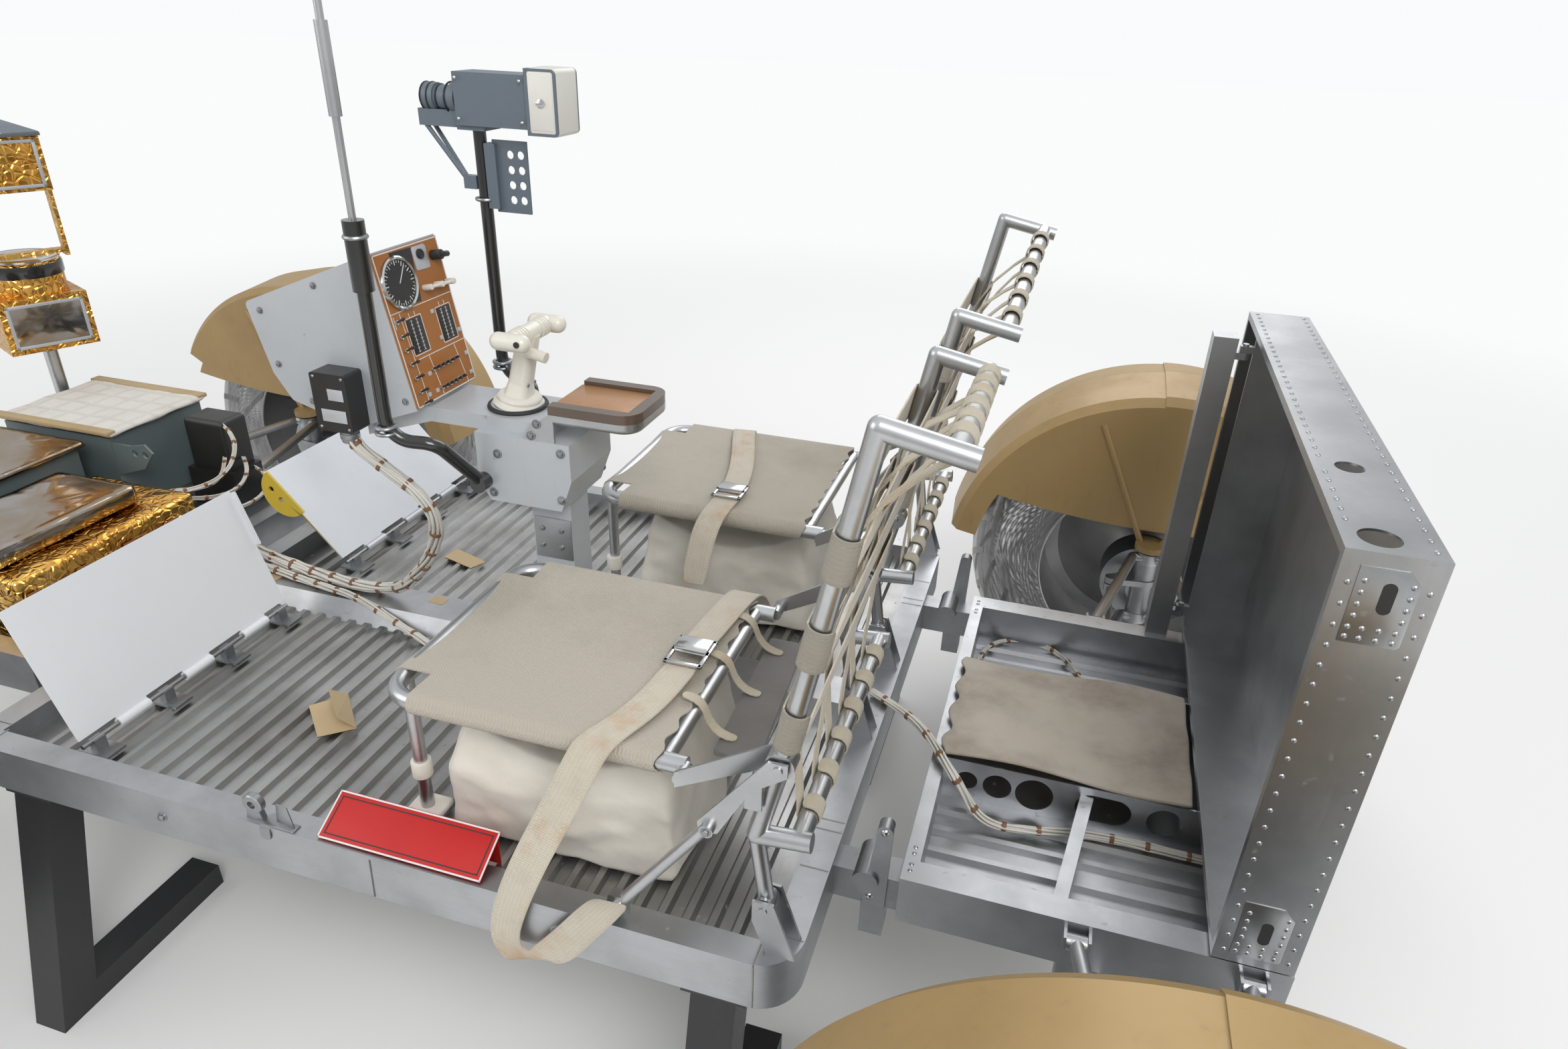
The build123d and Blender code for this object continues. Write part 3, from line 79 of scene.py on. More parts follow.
class Term:
    """A value on a material's node board that takes Python's arithmetic."""

    def __init__(self, board: Board, socket: bpy.types.NodeSocket) -> None:
        """Wrap a socket of the board."""
        self.board = board
        self.socket = socket

    def maths(self, operation: str, *others: Term | float) -> Term:
        """Add a Math node.

        Args:
            operation: the node's operation.
            others: its second and third values.

        Returns:
            The node's result.
        """
        values = dict(enumerate((self, *others)))
        return self.board.add("ShaderNodeMath", {"operation": operation}, values)

    def __add__(self, other: Term | float) -> Term:
        """Sum."""
        return self.maths("ADD", other)

    __radd__ = __add__

    def __mul__(self, other: Term | float) -> Term:
        """Product."""
        return self.maths("MULTIPLY", other)

    __rmul__ = __mul__

    def __sub__(self, other: Term | float) -> Term:
        """Difference."""
        return self.maths("SUBTRACT", other)

    def __rsub__(self, other: float) -> Term:
        """Difference from a number."""
        return self.maths("MULTIPLY", -1.0) + other

    def __truediv__(self, other: Term | float) -> Term:
        """Quotient."""
        return self.maths("DIVIDE", other)

    def wave(self, pitch: float) -> Term:
        """Sine of the value, one turn in each pitch."""
        return (self * (2 * math.pi / pitch)).maths("SINE")

    def ramp(self, low: float, high: float) -> Term:
        """Smooth step from 0 at low to 1 at high."""
        values = {"Value": self, "From Min": low, "From Max": high}
        return self.board.add("ShaderNodeMapRange", {"interpolation_type": "SMOOTHSTEP"}, values)

    def least(self, other: Term | float) -> Term:
        """Lower of two values."""
        return self.maths("MINIMUM", other)

    def most(self, other: Term | float) -> Term:
        """Higher of two values."""
        return self.maths("MAXIMUM", other)

    def size(self) -> Term:
        """Absolute value."""
        return self.maths("ABSOLUTE")


class Board:
    """Node board of one material."""

    def __init__(self, name: str) -> None:
        """Open a new material with its main shader.

        Args:
            name: the material's name.
        """
        self.material = bpy.data.materials.new(name)
        self.material.use_nodes = True
        self.tree = self.material.node_tree
        self.shader = self.tree.nodes["Principled BSDF"]

    def add(self, kind: str, settings: dict, values: dict, output: int | str = 0) -> Term:
        """Add any node.

        Args:
            kind: the node's type.
            settings: its settings, set first.
            values: numbers or terms for its sockets, by name or place.
            output: the socket to give back.

        Returns:
            The chosen output.
        """
        node = self.tree.nodes.new(kind)
        for key, value in settings.items():
            setattr(node, key, value)
        for key, value in values.items():
            if isinstance(value, Term):
                self.tree.links.new(value.socket, node.inputs[key])
            else:
                node.inputs[key].default_value = value
        return Term(self, node.outputs[output])

    def place(self, stretch: Point = (1.0, 1.0, 1.0)) -> Term:
        """Object coordinates, stretched along each axis."""
        spot = self.add("ShaderNodeTexCoord", {}, {}, "Object")
        return self.add("ShaderNodeMapping", {}, {"Vector": spot, "Scale": stretch})

    def unrolled(self) -> Term:
        """The piece's own UV map, in metres."""
        return self.add("ShaderNodeUVMap", {"uv_map": "UVMap"}, {})

    def split(self, spot: Term) -> tuple[Term, Term, Term]:
        """The three parts of a vector, as terms."""
        node = self.add("ShaderNodeSeparateXYZ", {}, {0: spot}).socket.node
        return tuple(Term(self, output) for output in node.outputs[:3])

    def noise(self, spot: Term, scale: float, detail: float = 3.0, rough: float = 0.55) -> Term:
        """Soft noise from 0 to 1."""
        values = {"Vector": spot, "Scale": scale, "Detail": detail, "Roughness": rough}
        return self.add("ShaderNodeTexNoise", {}, values)

    def cells(self, spot: Term, scale: float, feature: str = "F1") -> Term:
        """Distance within scattered cells."""
        values = {"Vector": spot, "Scale": scale}
        return self.add("ShaderNodeTexVoronoi", {"feature": feature}, values)

    def blend(self, share: Term | float, first: Term | Colour, second: Term | Colour) -> Term:
        """Mix of two colours, the second at a share of 1."""
        values = {0: share, 6: rgba(first), 7: rgba(second)}
        return self.add("ShaderNodeMix", {"data_type": "RGBA"}, values, 2)

    def bump(self, height: Term, depth: float, strength: float = 1.0) -> None:
        """Raise the surface over any bump that it has.

        Args:
            height: how high each point is, from 0 to 1.
            depth: what a height of 1 means, in metres.
            strength: share of the effect.
        """
        under = self.shader.inputs["Normal"].links
        values: dict = {"Height": height, "Distance": depth, "Strength": strength}
        if under:
            values["Normal"] = Term(self, under[0].from_socket)
        self.shade(Normal=self.add("ShaderNodeBump", {}, values))

    def shade(self, **values: Term | float | Colour) -> None:
        """Set the main shader's sockets.

        Args:
            values: terms, numbers or colours by the socket's name, with _ for a space.
        """
        for key, value in values.items():
            socket = self.shader.inputs[key.replace("_", " ")]
            if isinstance(value, Term):
                self.tree.links.new(value.socket, socket)
            else:
                socket.default_value = rgba(value) if isinstance(value, tuple) else value


def rgba(colour: Term | Colour) -> Term | tuple[float, float, float, float]:
    """A colour with its fourth value, or the term as it is."""
    return colour if isinstance(colour, Term) else (*colour, 1.0)


@dataclass(frozen=True)
class WornMetal:
    """Bare metal with cloudy oxide, fine scratches and some grime."""

    name: str
    tone: Colour
    shade: Colour
    polish: float = 0.3
    dulled: float = 0.52
    brushed: Point = (1.0, 1.0, 1.0)
    grime: Colour = (0.16, 0.13, 0.1)
    grime_share: float = 0.25
    cloud: float = 7.0
    scratch: float = 0.00006

    def make(self) -> bpy.types.Material:
        """Build the finish.

        Returns:
            The material.
        """
        board = Board(self.name)
        spot = board.place()
        cloud = board.noise(spot, self.cloud, 5.0)
        lines = board.noise(board.place(self.brushed), 160.0, 4.0, 0.7)
        grime = board.noise(spot, 3.2, 8.0, 0.7).ramp(0.56, 0.82) * self.grime_share
        flecks = board.noise(spot, 70.0, 2.0).ramp(0.66, 0.76) * self.grime_share
        tone = board.blend(cloud.ramp(0.3, 0.72), self.tone, self.shade)
        tone = board.blend(lines.ramp(0.35, 0.75) * 0.22, tone, self.shade)
        tone = board.blend(grime.most(flecks), tone, self.grime)
        matt = cloud * 0.6 + lines * 0.4
        board.shade(Base_Color=tone)
        board.shade(Roughness=matt * (self.dulled - self.polish) + (self.polish + grime * 0.5))
        board.shade(Metallic=1.0 - grime.most(flecks) * 1.6)
        board.bump(lines, self.scratch)
        return board.material


@dataclass(frozen=True)
class Enamel:
    """Paint or moulding with slight mottling, rubbed spots and fine grain."""

    name: str
    tone: Colour
    soil: Colour
    roughness: float = 0.4
    soil_share: float = 0.3
    grain: float = 220.0
    depth: float = 0.00005
    coat: float = 0.0
    metallic: float = 0.0
    worn: Colour | None = None

    def make(self) -> bpy.types.Material:
        """Build the finish.

        Returns:
            The material.
        """
        board = Board(self.name)
        spot = board.place()
        cloud = board.noise(spot, 5.0, 6.0, 0.6)
        grain = board.noise(spot, self.grain, 2.0)
        streaks = board.noise(board.place((6.0, 6.0, 1.2)), 9.0, 5.0, 0.65)
        soil = (cloud.ramp(0.42, 0.78) * 0.7 + streaks.ramp(0.55, 0.8) * 0.5) * self.soil_share
        tone = board.blend(soil, self.tone, self.soil)
        metal: Term | float = self.metallic
        if self.worn:
            chips = board.noise(spot, 46.0, 3.0, 0.6).ramp(0.7, 0.73)
            tone = board.blend(chips, tone, self.worn)
            metal = chips * 0.7 + self.metallic
        board.shade(Base_Color=tone, Roughness=soil * 0.3 + grain * 0.08 + (self.roughness - 0.04))
        board.shade(Metallic=metal, Coat_Weight=self.coat, Coat_Roughness=0.12)
        board.bump(grain * 0.6 + cloud * 0.4, self.depth)
        return board.material


@dataclass(frozen=True)
class Cloth:
    """Coarse plain weave that reads the piece's place, with soil and creases."""

    name: str
    tone: Colour
    soil: Colour
    pitch: float = 0.0042
    depth: float = 0.0006
    soil_share: float = 0.4
    crease: float = 0.0012
    crease_scale: float = 9.0
    roughness: float = 0.86

    def make(self) -> bpy.types.Material:
        """Build the finish.

        Returns:
            The material.
        """
        board = Board(self.name)
        spot = board.place()
        along, across, up = board.split(spot)
        across = across + up * 0.8
        weave = along.wave(self.pitch) * across.wave(self.pitch)
        slub = board.noise(board.place((1.0, 9.0, 9.0)), 60.0, 2.0)
        soil = board.noise(spot, 4.5, 6.0, 0.62).ramp(0.44, 0.74) * self.soil_share
        crease = board.noise(spot, self.crease_scale, 4.0, 0.6)
        tone = board.blend(soil, self.tone, self.soil)
        tone = board.blend((weave * 0.5 + 0.5) * 0.16 + slub * 0.12, tone, self.soil)
        board.shade(Base_Color=tone, Roughness=self.roughness, Sheen_Weight=0.25, Sheen_Roughness=0.5)
        board.bump(weave * 0.5 + 0.5, self.depth)
        board.bump(crease, self.crease * 4)
        return board.material


@dataclass(frozen=True)
class Webbing:
    """Flat woven strap that reads its own UV map, with stitch rows and rust stains."""

    name: str
    tone: Colour
    stain: Colour
    width: float
    stain_share: float = 0.5
    stitches: bool = False

    def make(self) -> bpy.types.Material:
        """Build the finish.

        Returns:
            The material.
        """
        board = Board(self.name)
        along, across, _ = board.split(board.unrolled())
        ribs = along.wave(0.0024) * 0.5 + 0.5
        cords = across.wave(self.width / 9) * 0.5 + 0.5
        selvedge = (across - self.width / 2).size().ramp(self.width * 0.4, self.width * 0.46)
        spot = board.place()
        rust = board.noise(spot, 11.0, 5.0, 0.65).ramp(0.5, 0.72) * self.stain_share
        soil = board.noise(spot, 30.0, 4.0).ramp(0.4, 0.8) * 0.25
        tone = board.blend(soil, self.tone, (0.3, 0.26, 0.2))
        tone = board.blend(rust, tone, self.stain)
        tone = board.blend(ribs * cords * 0.22 + selvedge * 0.12, tone, (0.28, 0.24, 0.18))
        height = ribs * 0.5 + cords * 0.5 - selvedge * 0.6
        if self.stitches:
            row = (across - self.width / 2).size() - self.width * 0.36
            dash = along.wave(0.005).ramp(-0.2, 0.4)
            seam = (1 - row.size().ramp(0.0004, 0.0012)) * dash
            tone = board.blend(seam * 0.8, tone, (0.78, 0.72, 0.58))
            height = height - seam * 1.5
        board.shade(Base_Color=tone, Roughness=0.82, Sheen_Weight=0.2)
        board.bump(height, 0.0006)
        return board.material


@dataclass(frozen=True)
class Foil:
    """Thin metal film crumpled into sharp facets, with painted shade along its creases."""

    name: str
    tone: Colour
    deep: Colour
    facets: float = 26.0
    depth: float = 0.006
    roughness: float = 0.14

    def make(self) -> bpy.types.Material:
        """Build the finish.

        Returns:
            The material.
        """
        board = Board(self.name)
        spot = board.place()
        warp = board.add("ShaderNodeTexNoise", {}, {"Vector": spot, "Scale": 7.0, "Detail": 2.0}, "Color")
        bent = board.add(
            "ShaderNodeVectorMath", {"operation": "MULTIPLY_ADD"}, {0: warp, 1: (0.09, 0.09, 0.09), 2: spot}
        )
        folds = board.cells(bent, self.facets)
        creases = board.cells(bent, self.facets * 2.3, "DISTANCE_TO_EDGE").ramp(0.0, 0.22)
        cloud = board.noise(spot, 5.0, 4.0)
        tone = board.blend(cloud.ramp(0.35, 0.7), self.tone, self.deep)
        # Painted shade: the foil is darkened towards its deep tone along the crease lines.
        tone = board.blend((1 - creases) * 0.35, tone, self.deep)
        board.shade(Base_Color=tone, Metallic=1.0, Roughness=cloud * 0.12 + self.roughness)
        board.bump(folds * 0.75 + creases * 0.25, self.depth)
        return board.material


@dataclass(frozen=True)
class WireMesh:
    """Woven wire of a tyre: thin crossed wires with open gaps between."""

    name: str
    tone: Colour
    shade: Colour
    axle: tuple[float, float] = (1.143, 0.409)
    wires: int = 360

    def make(self) -> bpy.types.Material:
        """Build the finish.

        Returns:
            The material.
        """
        board = Board(self.name)
        along, across, up = board.split(board.place())
        run = along.size() - self.axle[0]
        angle = (up - self.axle[1]).maths("ARCTAN2", run)
        left = (angle * self.wires + across * 900.0).maths("SINE").size()
        right = (angle * self.wires - across * 900.0).maths("SINE").size()
        wires = 1 - left.least(right).ramp(0.3, 0.52)
        cloud = board.noise(board.place(), 6.0, 4.0)
        tone = board.blend(cloud.ramp(0.3, 0.7), self.tone, self.shade)
        board.shade(Base_Color=tone, Metallic=0.9, Roughness=cloud * 0.2 + 0.34, Alpha=wires)
        board.bump(wires, 0.0008)
        return board.material


@dataclass(frozen=True)
class Quilt:
    """Padded blanket sewn in squares, with painted shade along its seams."""

    name: str
    tone: Colour
    # The soil colour also serves as painted shade along the seams.
    soil: Colour
    squares: float = 0.065
    depth: float = 0.004
    soil_share: float = 0.35

    def make(self) -> bpy.types.Material:
        """Build the finish.

        Returns:
            The material.
        """
        board = Board(self.name)
        spot = board.place()
        along, across, _ = board.split(spot)
        rows = (along / self.squares * math.pi).maths("SINE").size()
        files = (across / self.squares * math.pi).maths("SINE").size()
        puff = rows.least(files).ramp(0.0, 0.55)
        weave = along.wave(0.0016) * across.wave(0.0016)
        soil = board.noise(spot, 6.0, 6.0, 0.65).ramp(0.42, 0.75) * self.soil_share
        wrinkle = board.noise(board.place((1.0, 1.6, 1.0)), 34.0, 4.0, 0.6)
        # Painted shade: the sewn seams are blended towards the soil colour, on top of the noise soil.
        tone = board.blend(soil + (1 - puff) * 0.25, self.tone, self.soil)
        board.shade(Base_Color=tone, Roughness=0.8, Sheen_Weight=0.15)
        board.bump(weave * 0.5 + 0.5, 0.0002)
        board.bump(puff * 0.7 + wrinkle * 0.5, self.depth)
        return board.material


@dataclass(frozen=True)
class Leads:
    """White insulated wire, lightly soiled."""

    name: str
    tone: Colour = (0.62, 0.6, 0.55)
    soil: Colour = (0.34, 0.3, 0.24)

    def make(self) -> bpy.types.Material:
        """Build the finish.

        Returns:
            The material.
        """
        board = Board(self.name)
        spot = board.place()
        soil = board.noise(spot, 14.0, 5.0).ramp(0.45, 0.8) * 0.5
        grain = board.noise(spot, 260.0, 2.0)
        board.shade(Base_Color=board.blend(soil, self.tone, self.soil), Roughness=grain * 0.1 + 0.42)
        board.bump(grain, 0.0001)
        return board.material


class Surface(Enum):
    """Finishes of the vehicle."""

    FRAME = WornMetal(
        "frame_aluminium", (0.5, 0.51, 0.53), (0.36, 0.37, 0.38), 0.3, 0.5, (0.12, 0.12, 2.0), grime_share=0.3
    )
    FLOOR = WornMetal(
        "floor_aluminium", (0.46, 0.46, 0.46), (0.3, 0.3, 0.29), 0.28, 0.5, (2.2, 0.12, 1.0), grime_share=0.42
    )
    TUBE = WornMetal("tube_aluminium", (0.56, 0.57, 0.58), (0.42, 0.43, 0.44), 0.24, 0.42, grime_share=0.16)
    PALLET = WornMetal(
        "pallet_aluminium", (0.45, 0.46, 0.47), (0.33, 0.34, 0.35), 0.26, 0.44, (1.0, 1.0, 0.08),
        grime_share=0.2,
    )
    WHEEL = WornMetal("wheel_aluminium", (0.52, 0.52, 0.52), (0.38, 0.38, 0.38), 0.26, 0.46)
    ZINC = WornMetal("zinc_fittings", (0.4, 0.41, 0.42), (0.27, 0.28, 0.29), 0.28, 0.5, grime_share=0.34)
    WELD = WornMetal("weld_bead", (0.46, 0.45, 0.43), (0.28, 0.27, 0.25), 0.32, 0.55, grime_share=0.45)
    CHROME = WornMetal("polished_steel", (0.62, 0.62, 0.62), (0.5, 0.5, 0.5), 0.1, 0.22, grime_share=0.08)
    MESH = WireMesh("wire_mesh", (0.4, 0.4, 0.41), (0.26, 0.26, 0.26))
    TREAD = WornMetal("tread_strip", (0.36, 0.35, 0.33), (0.25, 0.24, 0.22), 0.34, 0.55)
    FENDER = Enamel(
        "fender_gold", (0.4, 0.27, 0.115), (0.24, 0.155, 0.065), 0.42, 0.55, 90.0, 0.00012, metallic=0.15
    )
    SEAT = Cloth("seat_cloth", (0.46, 0.42, 0.35), (0.27, 0.235, 0.18), 0.0052, 0.0009, 0.45, 0.0003)
    BAG = Cloth("bag_cloth", (0.74, 0.71, 0.64), (0.5, 0.44, 0.35), 0.0022, 0.00015, 0.34, 0.0016, 7.0, 0.6)
    BOARD_CLOTH = Cloth("stiff_cloth", (0.2, 0.19, 0.18), (0.12, 0.11, 0.1), 0.0022, 0.0002, 0.5, 0.0008)
    STRAP = Webbing("webbing_strap", (0.58, 0.52, 0.4), (0.42, 0.2, 0.06), 0.028, 0.35)
    BAND = Webbing("webbing_band", (0.6, 0.55, 0.45), (0.45, 0.22, 0.07), 0.055, 0.45, True)
    BELT = Webbing("webbing_belt", (0.56, 0.51, 0.42), (0.48, 0.24, 0.08), 0.05, 0.6, True)
    CANVAS = Cloth(
        "canvas_grey", (0.5, 0.45, 0.38), (0.235, 0.19, 0.145), 0.0016, 0.0002, 0.85, 0.003, 8.0, 0.7
    )
    BLANKET = Quilt("cover_white", (0.68, 0.66, 0.61), (0.47, 0.43, 0.36), 0.055, 0.003)
    TAPE = Enamel("tape_tan", (0.44, 0.33, 0.18), (0.28, 0.2, 0.1), 0.5, 0.5, 120.0, 0.0002)
    WHITE = Enamel("white_panel", (0.76, 0.78, 0.8), (0.62, 0.63, 0.64), 0.32, 0.25)
    SILVER = Enamel("silver_panel", (0.52, 0.54, 0.57), (0.4, 0.41, 0.43), 0.36, 0.3, metallic=0.35)
    HOUSING = Enamel(
        "housing_grey", (0.5, 0.53, 0.56), (0.35, 0.36, 0.37), 0.38, 0.4, metallic=0.25, worn=(0.6, 0.6, 0.6)
    )
    PANEL = Enamel("panel_orange", (0.36, 0.135, 0.028), (0.2, 0.075, 0.018), 0.46, 0.4, 180.0)
    HANDLE = Enamel("handle_white", (0.74, 0.71, 0.63), (0.5, 0.46, 0.37), 0.3, 0.3, coat=0.3)
    PAD = Enamel("armrest_brown", (0.105, 0.07, 0.05), (0.055, 0.038, 0.028), 0.3, 0.5, 60.0, 0.0002, 0.4)
    PAD_CENTRE = Enamel("armrest_centre", (0.4, 0.2, 0.085), (0.24, 0.12, 0.06), 0.4, 0.6, 60.0, 0.0002, 0.2)
    GLOSS_BLACK = Enamel("black_tube", (0.012, 0.012, 0.013), (0.03, 0.03, 0.03), 0.16, 0.3, coat=0.6)
    BLACK = Enamel("black_box", (0.018, 0.018, 0.018), (0.045, 0.043, 0.04), 0.4, 0.4)
    RUBBER = Enamel("black_rubber", (0.02, 0.02, 0.02), (0.05, 0.048, 0.045), 0.62, 0.4)
    CAMERA = Enamel("camera_grey", (0.115, 0.145, 0.175), (0.075, 0.09, 0.105), 0.44, 0.4, 500.0, 0.0002)
    CREAM = Enamel("cream_box", (0.68, 0.67, 0.62), (0.5, 0.47, 0.4), 0.36, 0.25)
    BATTERY = Enamel("battery_grey", (0.115, 0.15, 0.155), (0.07, 0.085, 0.085), 0.42, 0.45)
    GOLD = Foil("gold_foil", (0.83, 0.5, 0.13), (0.52, 0.22, 0.035))
    MIRROR = Foil("mirror_cover", (0.4, 0.39, 0.38), (0.3, 0.22, 0.14), 6.0, 0.0016, 0.06)
    LEADS = Leads("wire_white")
    TIE = Enamel("tie_brown", (0.2, 0.1, 0.045), (0.1, 0.05, 0.03), 0.6, 0.4)
    RED = Enamel("plate_red", (0.5, 0.01, 0.008), (0.36, 0.008, 0.007), 0.5, 0.3)
    YELLOW = Enamel("latch_yellow", (0.6, 0.44, 0.05), (0.4, 0.28, 0.04), 0.4, 0.35)
    BROWN = Enamel("bracket_brown", (0.2, 0.085, 0.03), (0.11, 0.045, 0.02), 0.45, 0.4)
    DIAL = Enamel("dial_white", (0.72, 0.72, 0.7), (0.55, 0.55, 0.52), 0.4, 0.15)
    CARD = Enamel("card_tan", (0.5, 0.38, 0.22), (0.34, 0.24, 0.13), 0.7, 0.4)
    STAND = Enamel("stand_black", (0.018, 0.018, 0.02), (0.055, 0.053, 0.05), 0.34, 0.4, 90.0, 0.0001)


class Shop:
    """Makes each finish once and hands it out."""

    def __init__(self) -> None:
        """Start with nothing made."""
        self.made: dict[Surface, bpy.types.Material] = {}

    def finish(self, surface: Surface) -> bpy.types.Material:
        """Hand out a finish, which is made when it is first asked for.

        Args:
            surface: which finish.

        Returns:
            The material.
        """
        if surface not in self.made:
            self.made[surface] = surface.value.make()
        return self.made[surface]


class Bench:
    """Moves that shape a piece as by hand. Each leaves its object at the origin."""

    @staticmethod
    def clear() -> None:
        """Leave edit mode with nothing selected."""
        if bpy.context.mode != "OBJECT":
            bpy.ops.object.mode_set(mode="OBJECT")
        bpy.ops.object.select_all(action="DESELECT")

    @staticmethod
    def pick(piece: Piece) -> None:
        """Select one piece alone.

        Args:
            piece: the piece, which becomes the active one.
        """
        Bench.clear()
        piece.select_set(True)
        bpy.context.view_layer.objects.active = piece

    @staticmethod
    def settle(name: str) -> Piece:
        """Name the active piece and put its place into its mesh.

        Args:
            name: the name of the piece and of its mesh.

        Returns:
            The piece.
        """
        piece = bpy.context.active_object
        piece.name = piece.data.name = name
        bpy.ops.object.transform_apply(location=True, rotation=True, scale=True)
        return piece

    @staticmethod
    def apply(piece: Piece, kind: str, **settings: object) -> None:
        """Add a modifier and apply it.

        Args:
            piece: the piece.
            kind: the modifier's type.
            settings: its settings.
        """
        Bench.pick(piece)
        modifier = piece.modifiers.new(kind.title(), kind)
        for key, value in settings.items():
            setattr(modifier, key, value)
        bpy.ops.object.modifier_apply(modifier=modifier.name)

    @staticmethod
    def thicken(piece: Piece, gauge: float) -> None:
        """Give a sheet its thickness, half to each side."""
        Bench.apply(piece, "SOLIDIFY", thickness=gauge, offset=0.0)

    @staticmethod
    def divide(piece: Piece, levels: int) -> None:
        """Round a piece off by subdivision."""
        Bench.apply(piece, "SUBSURF", levels=levels, render_levels=levels)

    @staticmethod
    def aim(axis: Point) -> Quaternion:
        """The turn that brings Z onto an axis."""
        return Vector((0, 0, 1)).rotation_difference(Vector(axis))

    @staticmethod
    def cut(piece: Piece, unwanted: Callable[[Vector], bool]) -> None:
        """Delete faces of a piece.

        Args:
            piece: the piece.
            unwanted: whether a face goes, told from its middle.
        """
        Bench.pick(piece)
        bpy.ops.object.mode_set(mode="EDIT")
        bpy.ops.mesh.select_all(action="DESELECT")
        bpy.ops.object.mode_set(mode="OBJECT")
        for face in piece.data.polygons:
            face.select = unwanted(face.center)
        bpy.ops.object.mode_set(mode="EDIT")
        bpy.ops.mesh.select_mode(type="FACE")
        bpy.ops.mesh.delete(type="FACE")
        bpy.ops.object.mode_set(mode="OBJECT")

    @staticmethod
    def block(name: str, low: Point, high: Point, edge: float = 0.0, steps: int = 2) -> Piece:
        """Box between two corners, its edges rounded.

        Args:
            name: the piece's name.
            low: lowest corner.
            high: highest corner.
            edge: width of the rounded edges.
            steps: segments round each edge.

        Returns:
            The piece.
        """
        Bench.clear()
        middle = (Vector(low) + Vector(high)) / 2
        bpy.ops.mesh.primitive_cube_add(size=1.0, location=middle)
        bpy.context.active_object.scale = Vector(high) - Vector(low)
        piece = Bench.settle(name)
        if edge:
            Bench.apply(piece, "BEVEL", width=edge, segments=steps, limit_method="ANGLE")
        return piece

    @staticmethod
    def rod(
        name: str, start: Point, end: Point, radius: float, sides: int = 20, edge: float = 0.0,
        taper: float = 1.0,
    ) -> Piece:
        """Round bar between two points.

        Args:
            name: the piece's name.
            start: centre of one end.
            end: centre of the other end.
            radius: radius at the start.
            sides: faces round it.
            edge: width of the chamfered ends.
            taper: share of the radius at the end.

        Returns:
            The piece.
        """
        Bench.clear()
        run = Vector(end) - Vector(start)
        bpy.ops.mesh.primitive_cone_add(
            vertices=sides, radius1=radius, radius2=radius * taper, depth=run.length,
            location=(Vector(start) + Vector(end)) / 2, rotation=Bench.aim(run).to_euler(),
        )
        piece = Bench.settle(name)
        if edge:
            Bench.apply(piece, "BEVEL", width=edge, segments=2, limit_method="ANGLE", angle_limit=0.9)
        return piece

    @staticmethod
    def plate(
        name: str, outline: Sequence[Point], gauge: Vector, edge: float = 0.0, steps: int = 2
    ) -> Piece:
        """Flat plate from an outline, pulled out along the gauge.

        Args:
            name: the piece's name.
            outline: corners in order.
            gauge: the pull, as a vector.
            edge: width of the rounded edges.
            steps: segments round each edge.

        Returns:
            The piece.
        """
        Bench.clear()
        bpy.ops.mesh.primitive_circle_add(vertices=len(outline), fill_type="NGON")
        piece = bpy.context.active_object
        for corner, spot in zip(piece.data.vertices, outline):
            corner.co = spot
        bpy.ops.object.mode_set(mode="EDIT")
        bpy.ops.mesh.select_all(action="SELECT")
        bpy.ops.mesh.extrude_region_move(TRANSFORM_OT_translate={"value": gauge})
        bpy.ops.mesh.select_all(action="SELECT")
        bpy.ops.mesh.normals_make_consistent(inside=False)
        bpy.ops.object.mode_set(mode="OBJECT")
        piece = Bench.settle(name)
        if edge:
            Bench.apply(piece, "BEVEL", width=edge, segments=steps, limit_method="ANGLE")
        return piece

    @staticmethod
    def turned(
        name: str, section: Sequence[tuple[float, float]], foot: Point, axis: Point, sides: int = 32
    ) -> Piece:
        """Piece turned on a lathe.

        Args:
            name: the piece's name.
            section: closed outline as (radius, height) pairs.
            foot: where height 0 lies.
            axis: direction of growing height.
            sides: faces round it.

        Returns:
            The piece.
        """
        Bench.clear()
        bpy.ops.mesh.primitive_circle_add(vertices=len(section), fill_type="NOTHING")
        piece = bpy.context.active_object
        for corner, (radius, height) in zip(piece.data.vertices, section):
            corner.co = (radius, 0.0, height)
        Bench.apply(
            piece, "SCREW", steps=sides, render_steps=sides, use_merge_vertices=True, merge_threshold=1e-5
        )
        piece.rotation_euler = Bench.aim(axis).to_euler()
        piece.location = foot
        piece = Bench.settle(name)
        Bench.weld(piece)
        return piece

    @staticmethod
    def weld(piece: Piece) -> None:
        """Merge doubled corners and turn the faces outwards.

        Args:
            piece: the piece.
        """
        Bench.pick(piece)
        bpy.ops.object.mode_set(mode="EDIT")
        bpy.ops.mesh.select_all(action="SELECT")
        bpy.ops.mesh.remove_doubles(threshold=1e-5)
        bpy.ops.mesh.normals_make_consistent(inside=False)
        bpy.ops.object.mode_set(mode="OBJECT")

    @staticmethod
    def spread(
        name: str, steps: tuple[int, int], size: tuple[float, float],
        lay: Callable[[float, float], Vector | Point],
    ) -> Piece:
        """Sheet laid out from a grid, each corner at lay(u, v) with u and v from 0 to 1.

        Args:
            name: the piece's name.
            steps: faces along u and along v.
            size: the flat sheet's length and width, for its UV map.
            lay: where a point of the sheet lies.

        Returns:
            The sheet, one face thick.
        """
        Bench.clear()
        bpy.ops.mesh.primitive_grid_add(x_subdivisions=steps[0], y_subdivisions=steps[1], size=1.0)
        piece = bpy.context.active_object
        places = [(corner.co.x + 0.5, corner.co.y + 0.5) for corner in piece.data.vertices]
        for loop in piece.data.loops:
            u, v = places[loop.vertex_index]
            piece.data.uv_layers[0].data[loop.index].uv = (u * size[0], v * size[1])
        for corner, (u, v) in zip(piece.data.vertices, places):
            corner.co = lay(u, v)
        return Bench.settle(name)

